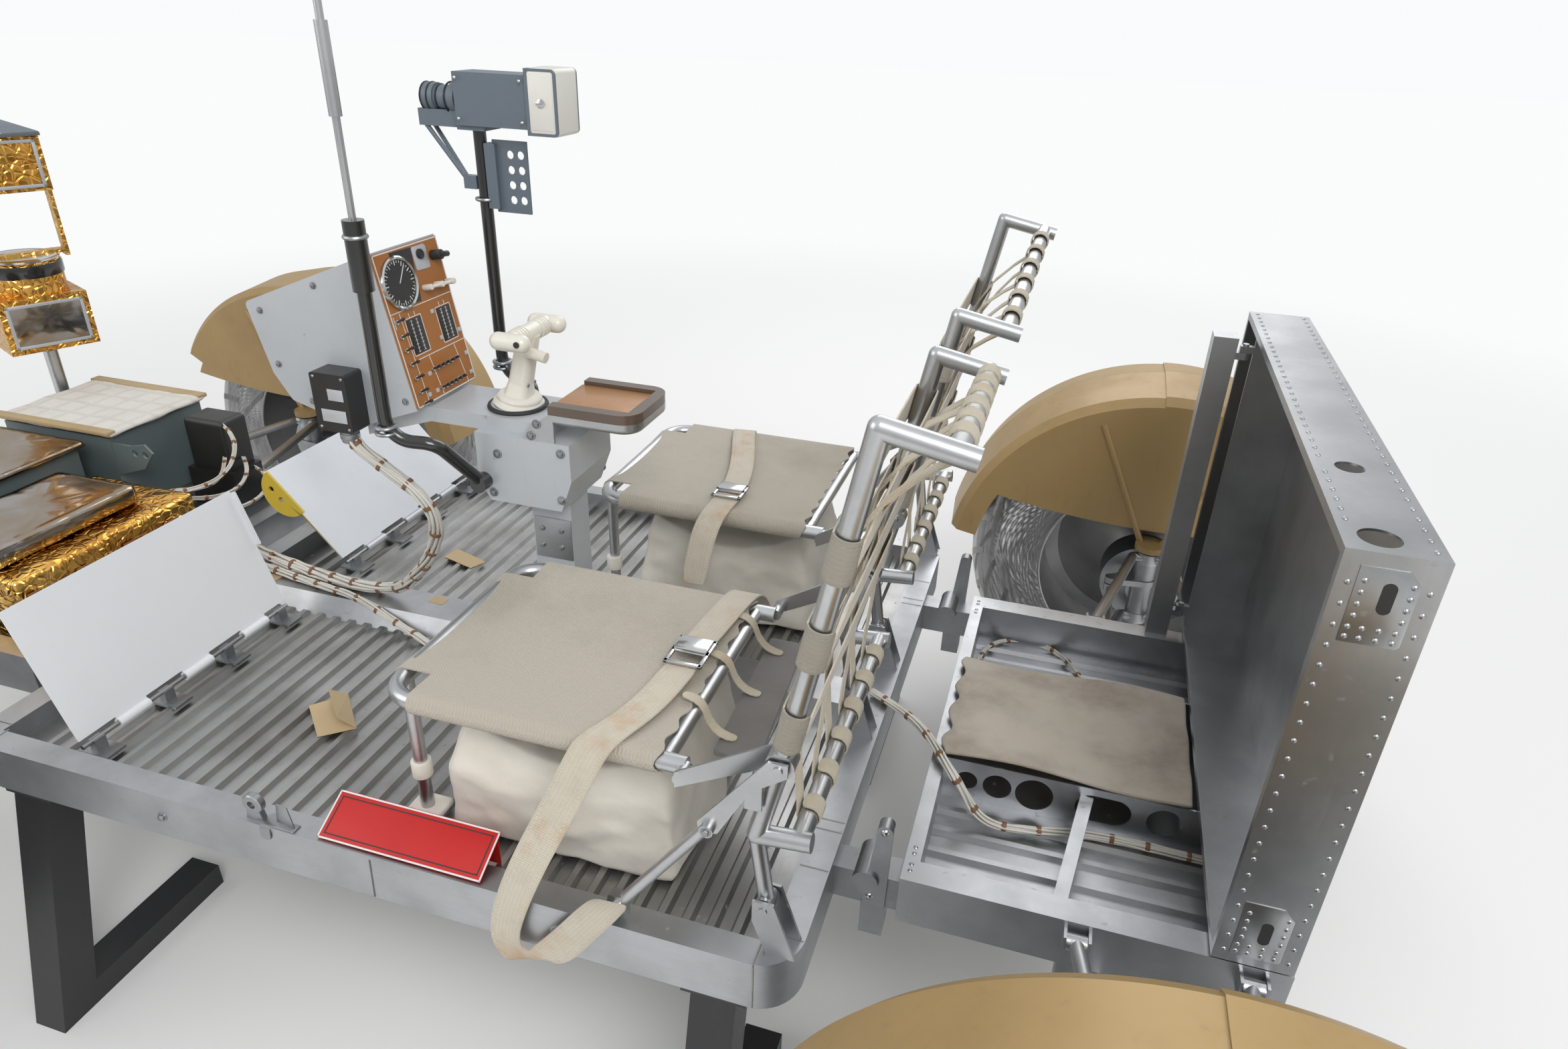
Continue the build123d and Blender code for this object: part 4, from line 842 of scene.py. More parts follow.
    @staticmethod
    def strap(
        name: str, path: Sequence[Point], across: Point, width: float, gauge: float, smooth: int = 2
    ) -> Piece:
        """Flat strap that follows a path, its width along one direction.

        Args:
            name: the piece's name.
            path: points along its middle.
            across: direction of its width.
            width: its width.
            gauge: its thickness.
            smooth: levels of subdivision.

        Returns:
            The strap.
        """
        points = [Vector(point) for point in path]
        length = sum((b - a).length for a, b in zip(points, points[1:]))
        side = Vector(across).normalized() * width
        last = len(points) - 1
        piece = Bench.spread(
            name, (last, 2), (length, width), lambda u, v: points[round(u * last)] + side * (v - 0.5)
        )
        Bench.divide(piece, smooth)
        Bench.thicken(piece, gauge)
        return piece

    @staticmethod
    def join(name: str, pieces: Sequence[Piece]) -> Piece:
        """Join pieces into one.

        Args:
            name: the joined piece's name.
            pieces: the pieces, used up.

        Returns:
            The joined piece.
        """
        Bench.clear()
        for piece in pieces:
            piece.select_set(True)
        bpy.context.view_layer.objects.active = pieces[0]
        if len(pieces) > 1:
            bpy.ops.object.join()
        return Bench.settle(name)

    @staticmethod
    def strew(name: str, model: Piece, places: Iterable[Matrix]) -> Piece:
        """Copy a small piece to each place and join the copies.

        Args:
            name: the joined piece's name.
            model: the small piece, modelled at the origin and used up.
            places: where each copy goes.

        Returns:
            The joined piece.
        """
        copies = []
        for place in places:
            copy = model.copy()
            copy.data = model.data.copy()
            copy.matrix_world = place
            bpy.context.collection.objects.link(copy)
            copies.append(copy)
        bpy.data.objects.remove(model)
        return Bench.join(name, copies)

    @staticmethod
    def facing(spot: Point, axis: Point) -> Matrix:
        """Placement at a spot with local Z along an axis."""
        return Matrix.Translation(spot) @ Bench.aim(axis).to_matrix().to_4x4()

    @staticmethod
    def curve(name: str, path: Sequence[Point], order: int = 3) -> Piece:
        """Smooth bare curve through control points.

        Args:
            name: the curve's name.
            path: control points.
            order: order of the smooth line, 2 for straight runs.

        Returns:
            The curve.
        """
        bend = bpy.data.curves.new(name, "CURVE")
        bend.dimensions = "3D"
        spline = bend.splines.new("NURBS")
        spline.points.add(len(path) - 1)
        for point, spot in zip(spline.points, path):
            point.co = (*spot, 1.0)
        spline.order_u = order
        spline.use_endpoint_u = True
        piece = bpy.data.objects.new(name, bend)
        bpy.context.collection.objects.link(piece)
        return piece

    @staticmethod
    def swell(curve: Piece, radius: float, steps: int) -> None:
        """Give a curve a round section.

        Args:
            curve: the curve.
            radius: the section's radius.
            steps: its roundness.
        """
        curve.data.bevel_depth = radius
        curve.data.bevel_resolution = steps
        curve.data.use_fill_caps = True

    @staticmethod
    def line(name: str, path: Sequence[Point], radius: float, steps: int = 2, order: int = 3) -> Piece:
        """Round smooth tube through control points, as a mesh.

        Args:
            name: the piece's name.
            path: control points.
            radius: the tube's radius.
            steps: roundness of the tube.
            order: order of the smooth line, 2 for straight runs.

        Returns:
            The piece.
        """
        Bench.clear()
        piece = Bench.curve(name, path, order)
        Bench.swell(piece, radius, steps)
        Bench.pick(piece)
        bpy.ops.object.convert(target="MESH")
        return Bench.settle(name)

    @staticmethod
    def ring(name: str, spot: Point, axis: Point, radius: float, thickness: float, sides: int = 28) -> Piece:
        """Round ring about an axis.

        Args:
            name: the piece's name.
            spot: its middle.
            axis: the direction that it goes round.
            radius: from the middle to the ring's own middle.
            thickness: the ring's own radius.
            sides: segments round the axis.

        Returns:
            The piece.
        """
        Bench.clear()
        bpy.ops.mesh.primitive_torus_add(
            major_radius=radius, minor_radius=thickness, major_segments=sides, minor_segments=8,
            location=spot, rotation=Bench.aim(axis).to_euler(),
        )
        return Bench.settle(name)

    @staticmethod
    def ruffle(piece: Piece, scale: float, depth: float, seed: float = 0.0) -> None:
        """Push a fine mesh in and out by smooth noise along its normals.

        Args:
            piece: the piece.
            scale: size of the folds.
            depth: how far the surface moves.
            seed: shift of the noise.
        """
        texture = bpy.data.textures.new(piece.name + "_folds", "CLOUDS")
        texture.noise_scale = scale
        texture.noise_depth = 2
        anchor = bpy.data.objects.new(piece.name + "_anchor", None)
        anchor.location = (seed, seed * 0.7, seed * 0.3)
        bpy.context.collection.objects.link(anchor)
        Bench.apply(
            piece, "DISPLACE", texture=texture, strength=depth, mid_level=0.5, texture_coords="OBJECT",
            texture_coords_object=anchor,
        )
        bpy.data.objects.remove(anchor)


@dataclass
class Studio:
    """Camera, floor and soft lamps."""

    eye: Point = (-0.8992, 1.4307, 1.6017)
    right: Point = (-0.95583429, -0.29218701, 0.03174192)
    down: Point = (-0.16192156, 0.43338547, -0.88654297)
    forward: Point = (0.24527986, -0.85252788, -0.46155607)
    lens: float = 23.1
    floor_size: float = 60.0
    floor_fade: tuple[float, float] = (1.9, 6.5)
    sky_light: float = 0.42
    sky_rise: float = 0.26
    mirror_light: float = 0.62
    mirror_rise: float = 0.38
    floor_tone: Colour = (0.9, 0.9, 0.89)
    glow_tone: Colour = (0.96, 0.97, 0.97)
    backdrop: float = 0.97
    lamps: tuple[tuple[str, Point, Point, float, float], ...] = (
        ("key_lamp", (-2.6, 3.2, 4.2), (0.0, 0.0, 0.6), 2.4, 150.0),
        ("fill_lamp", (3.4, 2.6, 3.0), (0.3, 0.0, 0.6), 3.0, 55.0),
        ("back_lamp", (-0.5, -4.0, 3.6), (0.0, 0.0, 0.6), 3.0, 60.0),
    )

    def camera(self) -> None:
        """Set the camera where the photo was taken from."""
        data = bpy.data.cameras.new("studio_camera")
        data.lens = self.lens
        data.sensor_width = 36.0
        data.clip_end = 200.0
        camera = bpy.data.objects.new("studio_camera", data)
        axes = (self.right, [-part for part in self.down], [-part for part in self.forward])
        turn = Matrix(axes).transposed()
        camera.matrix_world = Matrix.Translation(self.eye) @ turn.to_4x4()
        bpy.context.collection.objects.link(camera)
        bpy.context.scene.camera = camera

    def floor(self) -> None:
        """Lay the plain pale floor."""
        Bench.clear()
        bpy.ops.mesh.primitive_plane_add(size=self.floor_size)
        floor = Bench.settle("studio_floor")
        board = Board("studio_floor")
        board.shade(Base_Color=self.floor_tone, Roughness=0.85)
        across, along, _ = board.split(board.place())
        far = (across * across + along * along).maths("SQRT").ramp(*self.floor_fade)
        seen = board.add("ShaderNodeLightPath", {}, {}, "Is Camera Ray")
        glow = board.add("ShaderNodeEmission", {}, {"Color": rgba(self.glow_tone), "Strength": 1.0})
        mix = board.add("ShaderNodeMixShader", {}, {0: far * seen, 2: glow})
        board.tree.links.new(board.shader.outputs[0], mix.socket.node.inputs[1])
        board.tree.links.new(mix.socket, board.tree.nodes["Material Output"].inputs["Surface"])
        floor.data.materials.append(board.material)

    def lamp(self, name: str, spot: Point, aim: Point, size: float, power: float) -> None:
        """Hang one soft square lamp.

        Args:
            name: the lamp's name.
            spot: where it hangs.
            aim: what it points at.
            size: its width.
            power: its power in watts.
        """
        data = bpy.data.lights.new(name, "AREA")
        data.size = size
        data.energy = power
        lamp = bpy.data.objects.new(name, data)
        lamp.location = spot
        lamp.rotation_euler = (Vector(aim) - Vector(spot)).to_track_quat("-Z", "Y").to_euler()
        bpy.context.collection.objects.link(lamp)

    def world(self) -> None:
        """Light from all round, with a pale backdrop for the camera and for reflections."""
        world = bpy.data.worlds.new("studio_world")
        bpy.context.scene.world = world
        world.use_nodes = True
        nodes, links = world.node_tree.nodes, world.node_tree.links

        def maths(operation: str, *values: bpy.types.NodeSocket | float) -> bpy.types.NodeSocket:
            """Add a Math node to the world's board.

            Args:
                operation: the node's operation.
                values: what goes into it.

            Returns:
                The node's result.
            """
            node = nodes.new("ShaderNodeMath")
            node.operation = operation
            for socket, value in zip(node.inputs, values):
                if isinstance(value, float):
                    socket.default_value = value
                else:
                    links.new(value, socket)
            return node.outputs[0]

        path = nodes.new("ShaderNodeLightPath").outputs
        shiny = maths("MAXIMUM", path["Is Glossy Ray"], path["Is Transmission Ray"])
        spot = nodes.new("ShaderNodeTexCoord")
        split = nodes.new("ShaderNodeSeparateXYZ")
        links.new(spot.outputs["Generated"], split.inputs[0])
        sky = maths("MULTIPLY_ADD", split.outputs[2], self.sky_rise, self.sky_light)
        mirrored = maths("MULTIPLY_ADD", split.outputs[2], self.mirror_rise, self.mirror_light)
        light = maths("ADD", sky, maths("MULTIPLY", shiny, maths("SUBTRACT", mirrored, sky)))
        light = maths(
            "ADD", light, maths("MULTIPLY", path["Is Camera Ray"], maths("SUBTRACT", self.backdrop, light))
        )
        background = nodes["Background"]
        background.inputs["Color"].default_value = (0.98, 0.99, 1.0, 1.0)
        links.new(light, background.inputs["Strength"])

    def build(self) -> None:
        """Set up the whole studio."""
        self.camera()
        self.floor()
        self.world()
        for lamp in self.lamps:
            self.lamp(*lamp)
        bpy.context.scene.view_settings.view_transform = "Standard"


@dataclass
class Assembly:
    """One sub-assembly: shapes its pieces and dresses them."""

    shop: Shop

    def dress(
        self, piece: Piece, surface: Surface, body: str = ROOT, replaces: Sequence[str] = (),
        smooth: float = 0.6, slot: str | None = None,
    ) -> Piece:
        """Give a finished piece its finish and its body.

        Args:
            piece: the piece.
            surface: its finish.
            body: the body that it moves with.
            replaces: CAD nodes that it stands for.
            smooth: angle below which edges are shaded smooth.
            slot: the record's material slot, where it isn't the finish's own; not used.

        Returns:
            The piece.
        """
        Bench.pick(piece)
        bpy.ops.object.shade_smooth_by_angle(angle=smooth)
        piece.data.materials.clear()
        piece.data.materials.append(self.shop.finish(surface))
        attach(piece, body)
        slot or SHARED_SLOT.get(surface, surface.value.name)
        if replaces:
            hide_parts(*replaces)
        log.info("%s: %s on %s", piece.name, surface.name, body)
        return piece

    def heads(
        self, name: str, model: Piece, places: Sequence[Place], surface: Surface, body: str,
        slot: str | None,
    ) -> None:
        """Copy one fastener's head to many places.

        Args:
            name: the piece's name.
            model: the head, standing at the origin along Z and used up.
            places: each head's foot and the direction that it faces.
            surface: its finish.
            body: the body that it moves with.
            slot: the record's material slot, where it isn't the finish's own.
        """
        piece = Bench.strew(name, model, [Bench.facing(spot, axis) for spot, axis in places])
        self.dress(piece, surface, body, slot=slot)

    def rivets(
        self, name: str, places: Sequence[Place], radius: float, surface: Surface, body: str = ROOT,
        slot: str | None = None,
    ) -> None:
        """Set domed heads at places.

        Args:
            name: the piece's name.
            places: each head's foot and the direction that it faces.
            radius: a head's radius.
            surface: its finish.
            body: the body that it moves with.
            slot: the record's material slot, where it isn't the finish's own.
        """
        section = [(radius * a, radius * b) for a, b in DOME]
        dome = Bench.turned(f"{name}_head", section, (0, 0, 0), (0, 0, 1), 14)
        self.heads(name, dome, places, surface, body, slot)

    def bolts(self, name: str, places: Sequence[Place], radius: float, surface: Surface) -> None:
        """Set six-sided heads on washers at places.

        Args:
            name: the piece's name.
            places: each head's foot and the direction that it faces.
            radius: a head's radius.
            surface: its finish.
        """
        parts = [
            Bench.rod(
                f"{name}_{part}", (0, 0, low * radius), (0, 0, high * radius), radius * wide, sides,
                radius * edge,
            )
            for part, low, high, wide, sides, edge in BOLT
        ]
        self.heads(name, Bench.join(f"{name}_model", parts), places, surface, ROOT, None)

    def strips(
        self, name: str, outlines: Sequence[Sequence[Point]], gauge: Vector, surface: Surface,
        body: str = ROOT, edge: float = 0.0,
    ) -> None:
        """Lay flat plates side by side as one piece.

        Args:
            name: the piece's name.
            outlines: each plate's corners.
            gauge: their thickness, as a vector.
            surface: their finish.
            body: the body that they move with.
            edge: width of their rounded edges.
        """
        plates = [
            Bench.plate(f"{name}_{index}", outline, gauge, edge) for index, outline in enumerate(outlines)
        ]
        self.dress(Bench.join(name, plates), surface, body, smooth=0.5)


# A finish's name is also that of its material slot, except for these, which share another's.
SHARED_SLOT = {
    Surface.WELD: "frame_aluminium",
    Surface.TREAD: "wheel_aluminium",
    Surface.CHROME: "silver_panel",
    Surface.YELLOW: "silver_panel",
    Surface.STRAP: "webbing_cloth",
    Surface.BAND: "webbing_cloth",
    Surface.BELT: "webbing_cloth",
    Surface.BOARD_CLOTH: "bag_cloth",
    Surface.CARD: "bag_cloth",
    Surface.TAPE: "cover_white",
    Surface.MIRROR: "gold_foil",
    Surface.BROWN: "gold_foil",
    Surface.CREAM: "white_panel",
    Surface.DIAL: "white_panel",
    Surface.PAD_CENTRE: "armrest_brown",
    Surface.RUBBER: "black_box",
    Surface.RED: "panel_orange",
    Surface.TIE: "wire_white",
}


def dress_nodes(frame: dict, shop: Shop) -> None:
    """Give every CAD node the finish of its material slot.

    Args:
        shop: where the finishes come from.
    """
    surfaces = {surface.value.name: surface for surface in Surface} | {"webbing_cloth": Surface.STRAP}
    slots = {part["node"]: part["material_slot"] for part in frame["record"]["subparts"]}
    for name, node in frame["nodes"].items():
        for holder in node.material_slots:
            holder.material = shop.finish(surfaces[slots[name]])


@dataclass
class Seats(Assembly):
    """Seat cloths, back lacing and bags."""

    pan_x: tuple[float, float] = (-0.485, -0.0755)
    pan_y: tuple[float, float] = (0.1445, 0.5175)
    pan_z: float = 0.7425
    wrap: float = 0.0155
    wrap_turn: float = math.pi * 0.9
    notch: float = 0.058
    knee: tuple[float, float] = (-0.657, 0.824)
    lean: float = math.radians(10.9)
    back_y: tuple[float, float] = (0.103, 0.56)
    band_heights: tuple[float, ...] = (1.105, 0.992, 0.875)
    strap_places: tuple[float, ...] = (0.155, 0.225, 0.295, 0.365, 0.435, 0.505)
    high_bar: tuple[Point, Point] = ((-0.8, 0.103, 1.167), (-0.813, 0.56, 1.235))
    low_bar: tuple[float, float] = (-0.682, 0.708)
    top_turns: tuple[float, ...] = (-1.2, -0.5, 0.3, 1.2, 2.1, 3.0, 3.9, 4.5)
    foot_turns: tuple[float, ...] = (0.4, -0.4, -1.3, -2.2, -3.0, -3.9, -4.6, -5.4)
    bag_low: Point = (-0.49, 0.185, 0.49)
    bag_high: Point = (-0.12, 0.49, 0.688)

    def wrapped(self, run: float, low: float, high: float) -> tuple[float, float]:
        """Follow a stretched cloth across two parallel tubes and round under them.

        Args:
            run: distance along the cloth from its first edge.
            low: middle of the first tube.
            high: middle of the second tube.

        Returns:
            Place across the tubes and height above their middles.
        """
        turn = self.wrap * self.wrap_turn
        if run < turn:
            angle = self.wrap_turn * (1 - run / turn)
            return low - self.wrap * math.sin(angle), self.wrap * math.cos(angle)
        span = high - low
        if run < turn + span:
            share = (run - turn) / span
            return low + span * share, self.wrap - 0.007 * math.sin(math.pi * share)
        angle = (run - turn - span) / self.wrap
        return high + self.wrap * math.sin(angle), self.wrap * math.cos(angle)

    def cloth(self, name: str, side: int) -> None:
        """Stretch the woven cloth over one pan, its front corners cut.

        Args:
            name: the seat's name.
            side: 1 for the left seat, -1 for the right.
        """
        turn = self.wrap * self.wrap_turn
        width = self.pan_y[1] - self.pan_y[0] + 2 * turn
        length = self.pan_x[1] - self.pan_x[0] + turn

        def lay(u: float, v: float) -> Vector:
            """Place a point of the cloth.

            Args:
                u: its share of the length.
                v: its share of the width.

            Returns:
                The point.
            """
            across, lift = self.wrapped(v * width, *self.pan_y)
            run = u * length
            flat = self.pan_x[1] - self.pan_x[0]
            if run <= flat:
                ragged = 0.004 * math.sin(v * 61) * max(0.0, 1 - run / 0.02)
                return Vector((self.pan_x[0] + run + ragged, side * across, self.pan_z + lift))
            angle = (run - flat) / self.wrap
            drop = self.wrap * (1 - math.cos(angle))
            ahead = self.pan_x[1] + self.wrap * math.sin(angle)
            return Vector((ahead, side * across, self.pan_z + lift - drop))

        piece = Bench.spread(f"seat_cloth_{name}", (66, 66), (length, width), lay)
        edge = self.pan_x[1] - self.notch + 0.012
        inner, outer = self.pan_y[0] + self.notch - 0.012, self.pan_y[1] - self.notch + 0.012
        Bench.cut(piece, lambda middle: middle.x > edge and not inner < abs(middle.y) < outer)
        Bench.thicken(piece, 0.0022)
        self.dress(piece, Surface.SEAT, replaces=["seat_cloths"], smooth=1.2)

    def upright(self, height: float) -> float:
        """X of an upright's middle at a height."""
        return self.knee[0] - math.tan(self.lean) * (height - self.knee[1])

    def lacing(self, name: str, side: int) -> None:
        """Lace one seat back: wide bands round the uprights, woven with upright straps.

        Args:
            name: the seat's name.
            side: 1 for the left seat, -1 for the right.
        """
        pieces = []
        lean = Vector((-math.sin(self.lean), 0, math.cos(self.lean)))
        front = Vector((math.cos(self.lean), 0, math.sin(self.lean)))
        inner, outer = self.back_y
        reach = self.wrap + 0.0005
        steps = 10
        for index, height in enumerate(self.band_heights):
            middle = Vector((self.upright(height), 0, height))
            loop = []
            for upright, start in ((outer, -math.pi / 2), (inner, math.pi / 2)):
                for step in range(steps + 1):
                    angle = start + math.pi * step / steps
                    out = Vector((0, side * (upright + reach * math.cos(angle)), 0))
                    loop.append(middle + out + front * reach * math.sin(angle))
            loop.append(loop[0])
            pieces.append(Bench.strap(f"back_band_{name}_{index}", loop, lean, 0.054, 0.0022, 1))
        bands = Bench.join(f"back_bands_{name}", pieces)
        self.dress(bands, Surface.BAND, f"seat_back_{name}", [f"seat_webbing_{name}"], 1.2)
        self.straps(name, side)

    @staticmethod
    def looped(middle: Vector, radius: float, turns: Sequence[float]) -> list[Vector]:
        """Points round a cross bar at the given angles."""
        return [middle + Vector((radius * math.cos(a), 0, radius * math.sin(a))) for a in turns]

    def straps(self, name: str, side: int) -> None:
        """Weave one seat back's narrow upright straps between its cross bars.

        Args:
            name: the seat's name.
            side: 1 for the left seat, -1 for the right.
        """
        pieces = []
        low, high = Vector(self.high_bar[0]), Vector(self.high_bar[1])
        for index, place in enumerate(self.strap_places):
            share = (place - low.y) / (high.y - low.y)
            bar = low.lerp(high, share)
            spot = Vector((0, side * place, 0))
            top = Vector((bar.x, 0, bar.z))
            back = [point + spot for point in self.looped(top, 0.017, self.top_turns)]
            weave = 0.0235 if index % 2 else -0.006
            run = [Vector((top.x + 0.03, 0, top.z - 0.036))]
            for number, height in enumerate(self.band_heights):
                offset = weave if number % 2 == 0 else 0.0175 - weave
                run.append(Vector((self.upright(height) + offset - 0.008, 0, height)))
            run.append(Vector((self.low_bar[0] + 0.016, 0, self.low_bar[1] + 0.03)))
            foot = Vector((self.low_bar[0], 0, self.low_bar[1]))
            wrap = self.looped(foot, 0.0165, self.foot_turns)
            path = back + [point + spot for point in run + wrap]
            pieces.append(Bench.strap(f"back_strap_{name}_{index}", path, (0, side, 0), 0.027, 0.002, 1))
        straps = Bench.join(f"back_straps_{name}", pieces)
        self.dress(straps, Surface.STRAP, f"seat_back_{name}", [f"seat_webbing_{name}"], 1.2)

    def bag(self, name: str, side: int) -> None:
        """Shape the soft bag that slumps under one pan.

        Args:
            name: the seat's name.
            side: 1 for the left seat, -1 for the right.
        """
        low, high = Vector(self.bag_low), Vector(self.bag_high)
        piece = Bench.block(f"seat_bag_{name}", low, high)
        Bench.apply(piece, "SUBSURF", levels=5, render_levels=5, subdivision_type="SIMPLE")
        middle, half = (low + high) / 2, (high - low) / 2
        for corner in piece.data.vertices:
            local = [(corner.co[axis] - middle[axis]) / half[axis] for axis in range(3)]
            level = max(0.0, (local[2] + 1) / 2)
            slump = 1 - 0.16 * level ** 1.5
            dip = 0.0
            if local[2] > 0.2:
                dip = 0.055 * (1 - local[0] ** 2) * (local[2] - 0.2)
            bulge = 1 + 0.05 * math.sin(level * math.pi)
            corner.co.x = middle.x + half.x * local[0] * slump * bulge * (1 - 0.06 * local[1] ** 2)
            corner.co.y = middle.y + half.y * local[1] * slump * bulge * (1 - 0.08 * local[0] ** 2)
            corner.co.z = corner.co.z - dip
            corner.co.y *= side
        Bench.weld(piece)
        Bench.ruffle(piece, 0.09, 0.03, 3.0 + side)
        Bench.ruffle(piece, 0.03, 0.008, 7.0 + side)
        Bench.apply(piece, "SMOOTH", factor=0.5, iterations=3)
        self.dress(piece, Surface.BAG, replaces=["seat_bags"], smooth=1.5)

    def build(self) -> None:
        """Make both seats' soft pieces."""
        for name, side in SIDES:
            self.cloth(name, side)
            self.lacing(name, side)
            self.bag(name, side)


@dataclass
class FrontBay(Assembly):
    """Battery covers and foil-wrapped boxes ahead of the floor."""

    boxes: tuple[tuple[str, Point, Point, Surface, str, float, float, str | None], ...] = (
        ("battery_blanket", (1.075, -0.37, 0.7003), (1.412, -0.09, 0.72), Surface.BLANKET, "battery_covers",
         0.006, 0.008, None),
        ("battery_mirror", (1.122, -0.075, 0.6843), (1.412, 0.205, 0.704), Surface.MIRROR, "battery_covers",
         0.003, 0.004, "cover_white"),
        ("electronics_foil", (0.835, -0.064, 0.482), (1.112, 0.352, 0.64), Surface.GOLD, "electronics",
         0.012, 0.012, None),
        ("electronics_top", (0.893, 0.02, 0.636), (1.1, 0.33, 0.68), Surface.MIRROR, "electronics",
         0.003, 0.004, None),
    )
    bracket_y: tuple[float, ...] = (0.01, 0.115, 0.22, 0.32)
    bracket_leaf: Pairs = ((-0.02, 0.536), (0.02, 0.536), (0.014, 0.604), (-0.014, 0.604))
    tapes: tuple[tuple[Point, Point], ...] = (
        ((1.079, -0.37, 0.71), (1.409, -0.344, 0.7204)),
        ((1.079, -0.113, 0.71), (1.409, -0.091, 0.7204)),
    )

    def wrapped_box(
        self, name: str, low: Point, high: Point, surface: Surface, node: str, folds: float, edge: float,
        slot: str | None,
    ) -> None:
        """Box wrapped in film or blanket, its faces gently rumpled.

        Args:
            name: the piece's name.
            low: lowest corner.
            high: highest corner.
            surface: its finish.
            node: the CAD node that it stands for.
            folds: depth of the rumples.
            edge: rounding of its edges.
            slot: the record's material slot, where it isn't the finish's own.
        """
        inset = Vector((folds, folds, folds)) * 0.4
        piece = Bench.block(name, tuple(Vector(low) + inset), tuple(Vector(high) - inset), edge, 3)
        Bench.apply(piece, "REMESH", mode="VOXEL", voxel_size=0.009)
        Bench.ruffle(piece, 0.055, folds, len(name) * 0.37)
        Bench.apply(piece, "SMOOTH", factor=0.5, iterations=2)
        self.dress(piece, surface, replaces=[node], smooth=1.2, slot=slot)

    def build(self) -> None:
        """Make the front bay's pieces."""
        for name, low, high, surface, node, folds, edge, slot in self.boxes:
            self.wrapped_box(name, low, high, surface, node, folds, edge, slot)
        brackets, heads = [], []
        for index, y in enumerate(self.bracket_y):
            leaf = [(0.8375, y + across, z) for across, z in self.bracket_leaf]
            brackets.append(Bench.plate(f"foil_bracket_{index}", leaf, Vector((-0.004, 0, 0)), 0.0012))
            low, high = (0.817, y - 0.02, 0.536), (0.836, y + 0.02, 0.5385)
            brackets.append(Bench.block(f"foil_shelf_{index}", low, high, 0.0008))
            heads.append(((0.8338, y, 0.585), (-1, 0, 0)))
        self.dress(Bench.join("foil_brackets", brackets), Surface.BROWN)
        self.bolts("bracket_bolts", heads, 0.005, Surface.ZINC)
        tapes = [
            Bench.block(f"cover_tape_{index}", *corners, 0.003) for index, corners in enumerate(self.tapes)
        ]
        self.dress(Bench.join("cover_tapes", tapes), Surface.TAPE)


@dataclass
class AftBay(Assembly):
    """Canvas cover behind the seats."""

    canvas_x: tuple[float, float] = (-1.19, -0.803)
    canvas_y: tuple[float, float] = (-0.16, 0.122)
    canvas_z: float = 0.528

    def canvas(self) -> None:
        """Lay the worn canvas on the rear frame."""
        length = self.canvas_x[1] - self.canvas_x[0]
        width = self.canvas_y[1] - self.canvas_y[0]

        def lay(u: float, v: float) -> Vector:
            """Place a point of the canvas.

            Args:
                u: its share of the length.
                v: its share of the width.

            Returns:
                The point.
            """
            sag = 0.004 * math.sin(u * 7 + v * 3) + 0.003 * math.sin(v * 17 + u * 5)
            edge = 0.006 * math.sin(v * 23) * (1 if u > 0.98 else 0)
            x = self.canvas_x[0] + u * length + edge
            return Vector((x, self.canvas_y[0] + v * width, self.canvas_z + sag))

        piece = Bench.spread("stowage_canvas", (60, 80), (length, width), lay)
        Bench.thicken(piece, 0.006)
        Bench.divide(piece, 1)
        self.dress(piece, Surface.CANVAS, replaces=["stowage_cover"], smooth=1.2)

    def build(self) -> None:
        """Make the rear bay's pieces."""
        self.canvas()


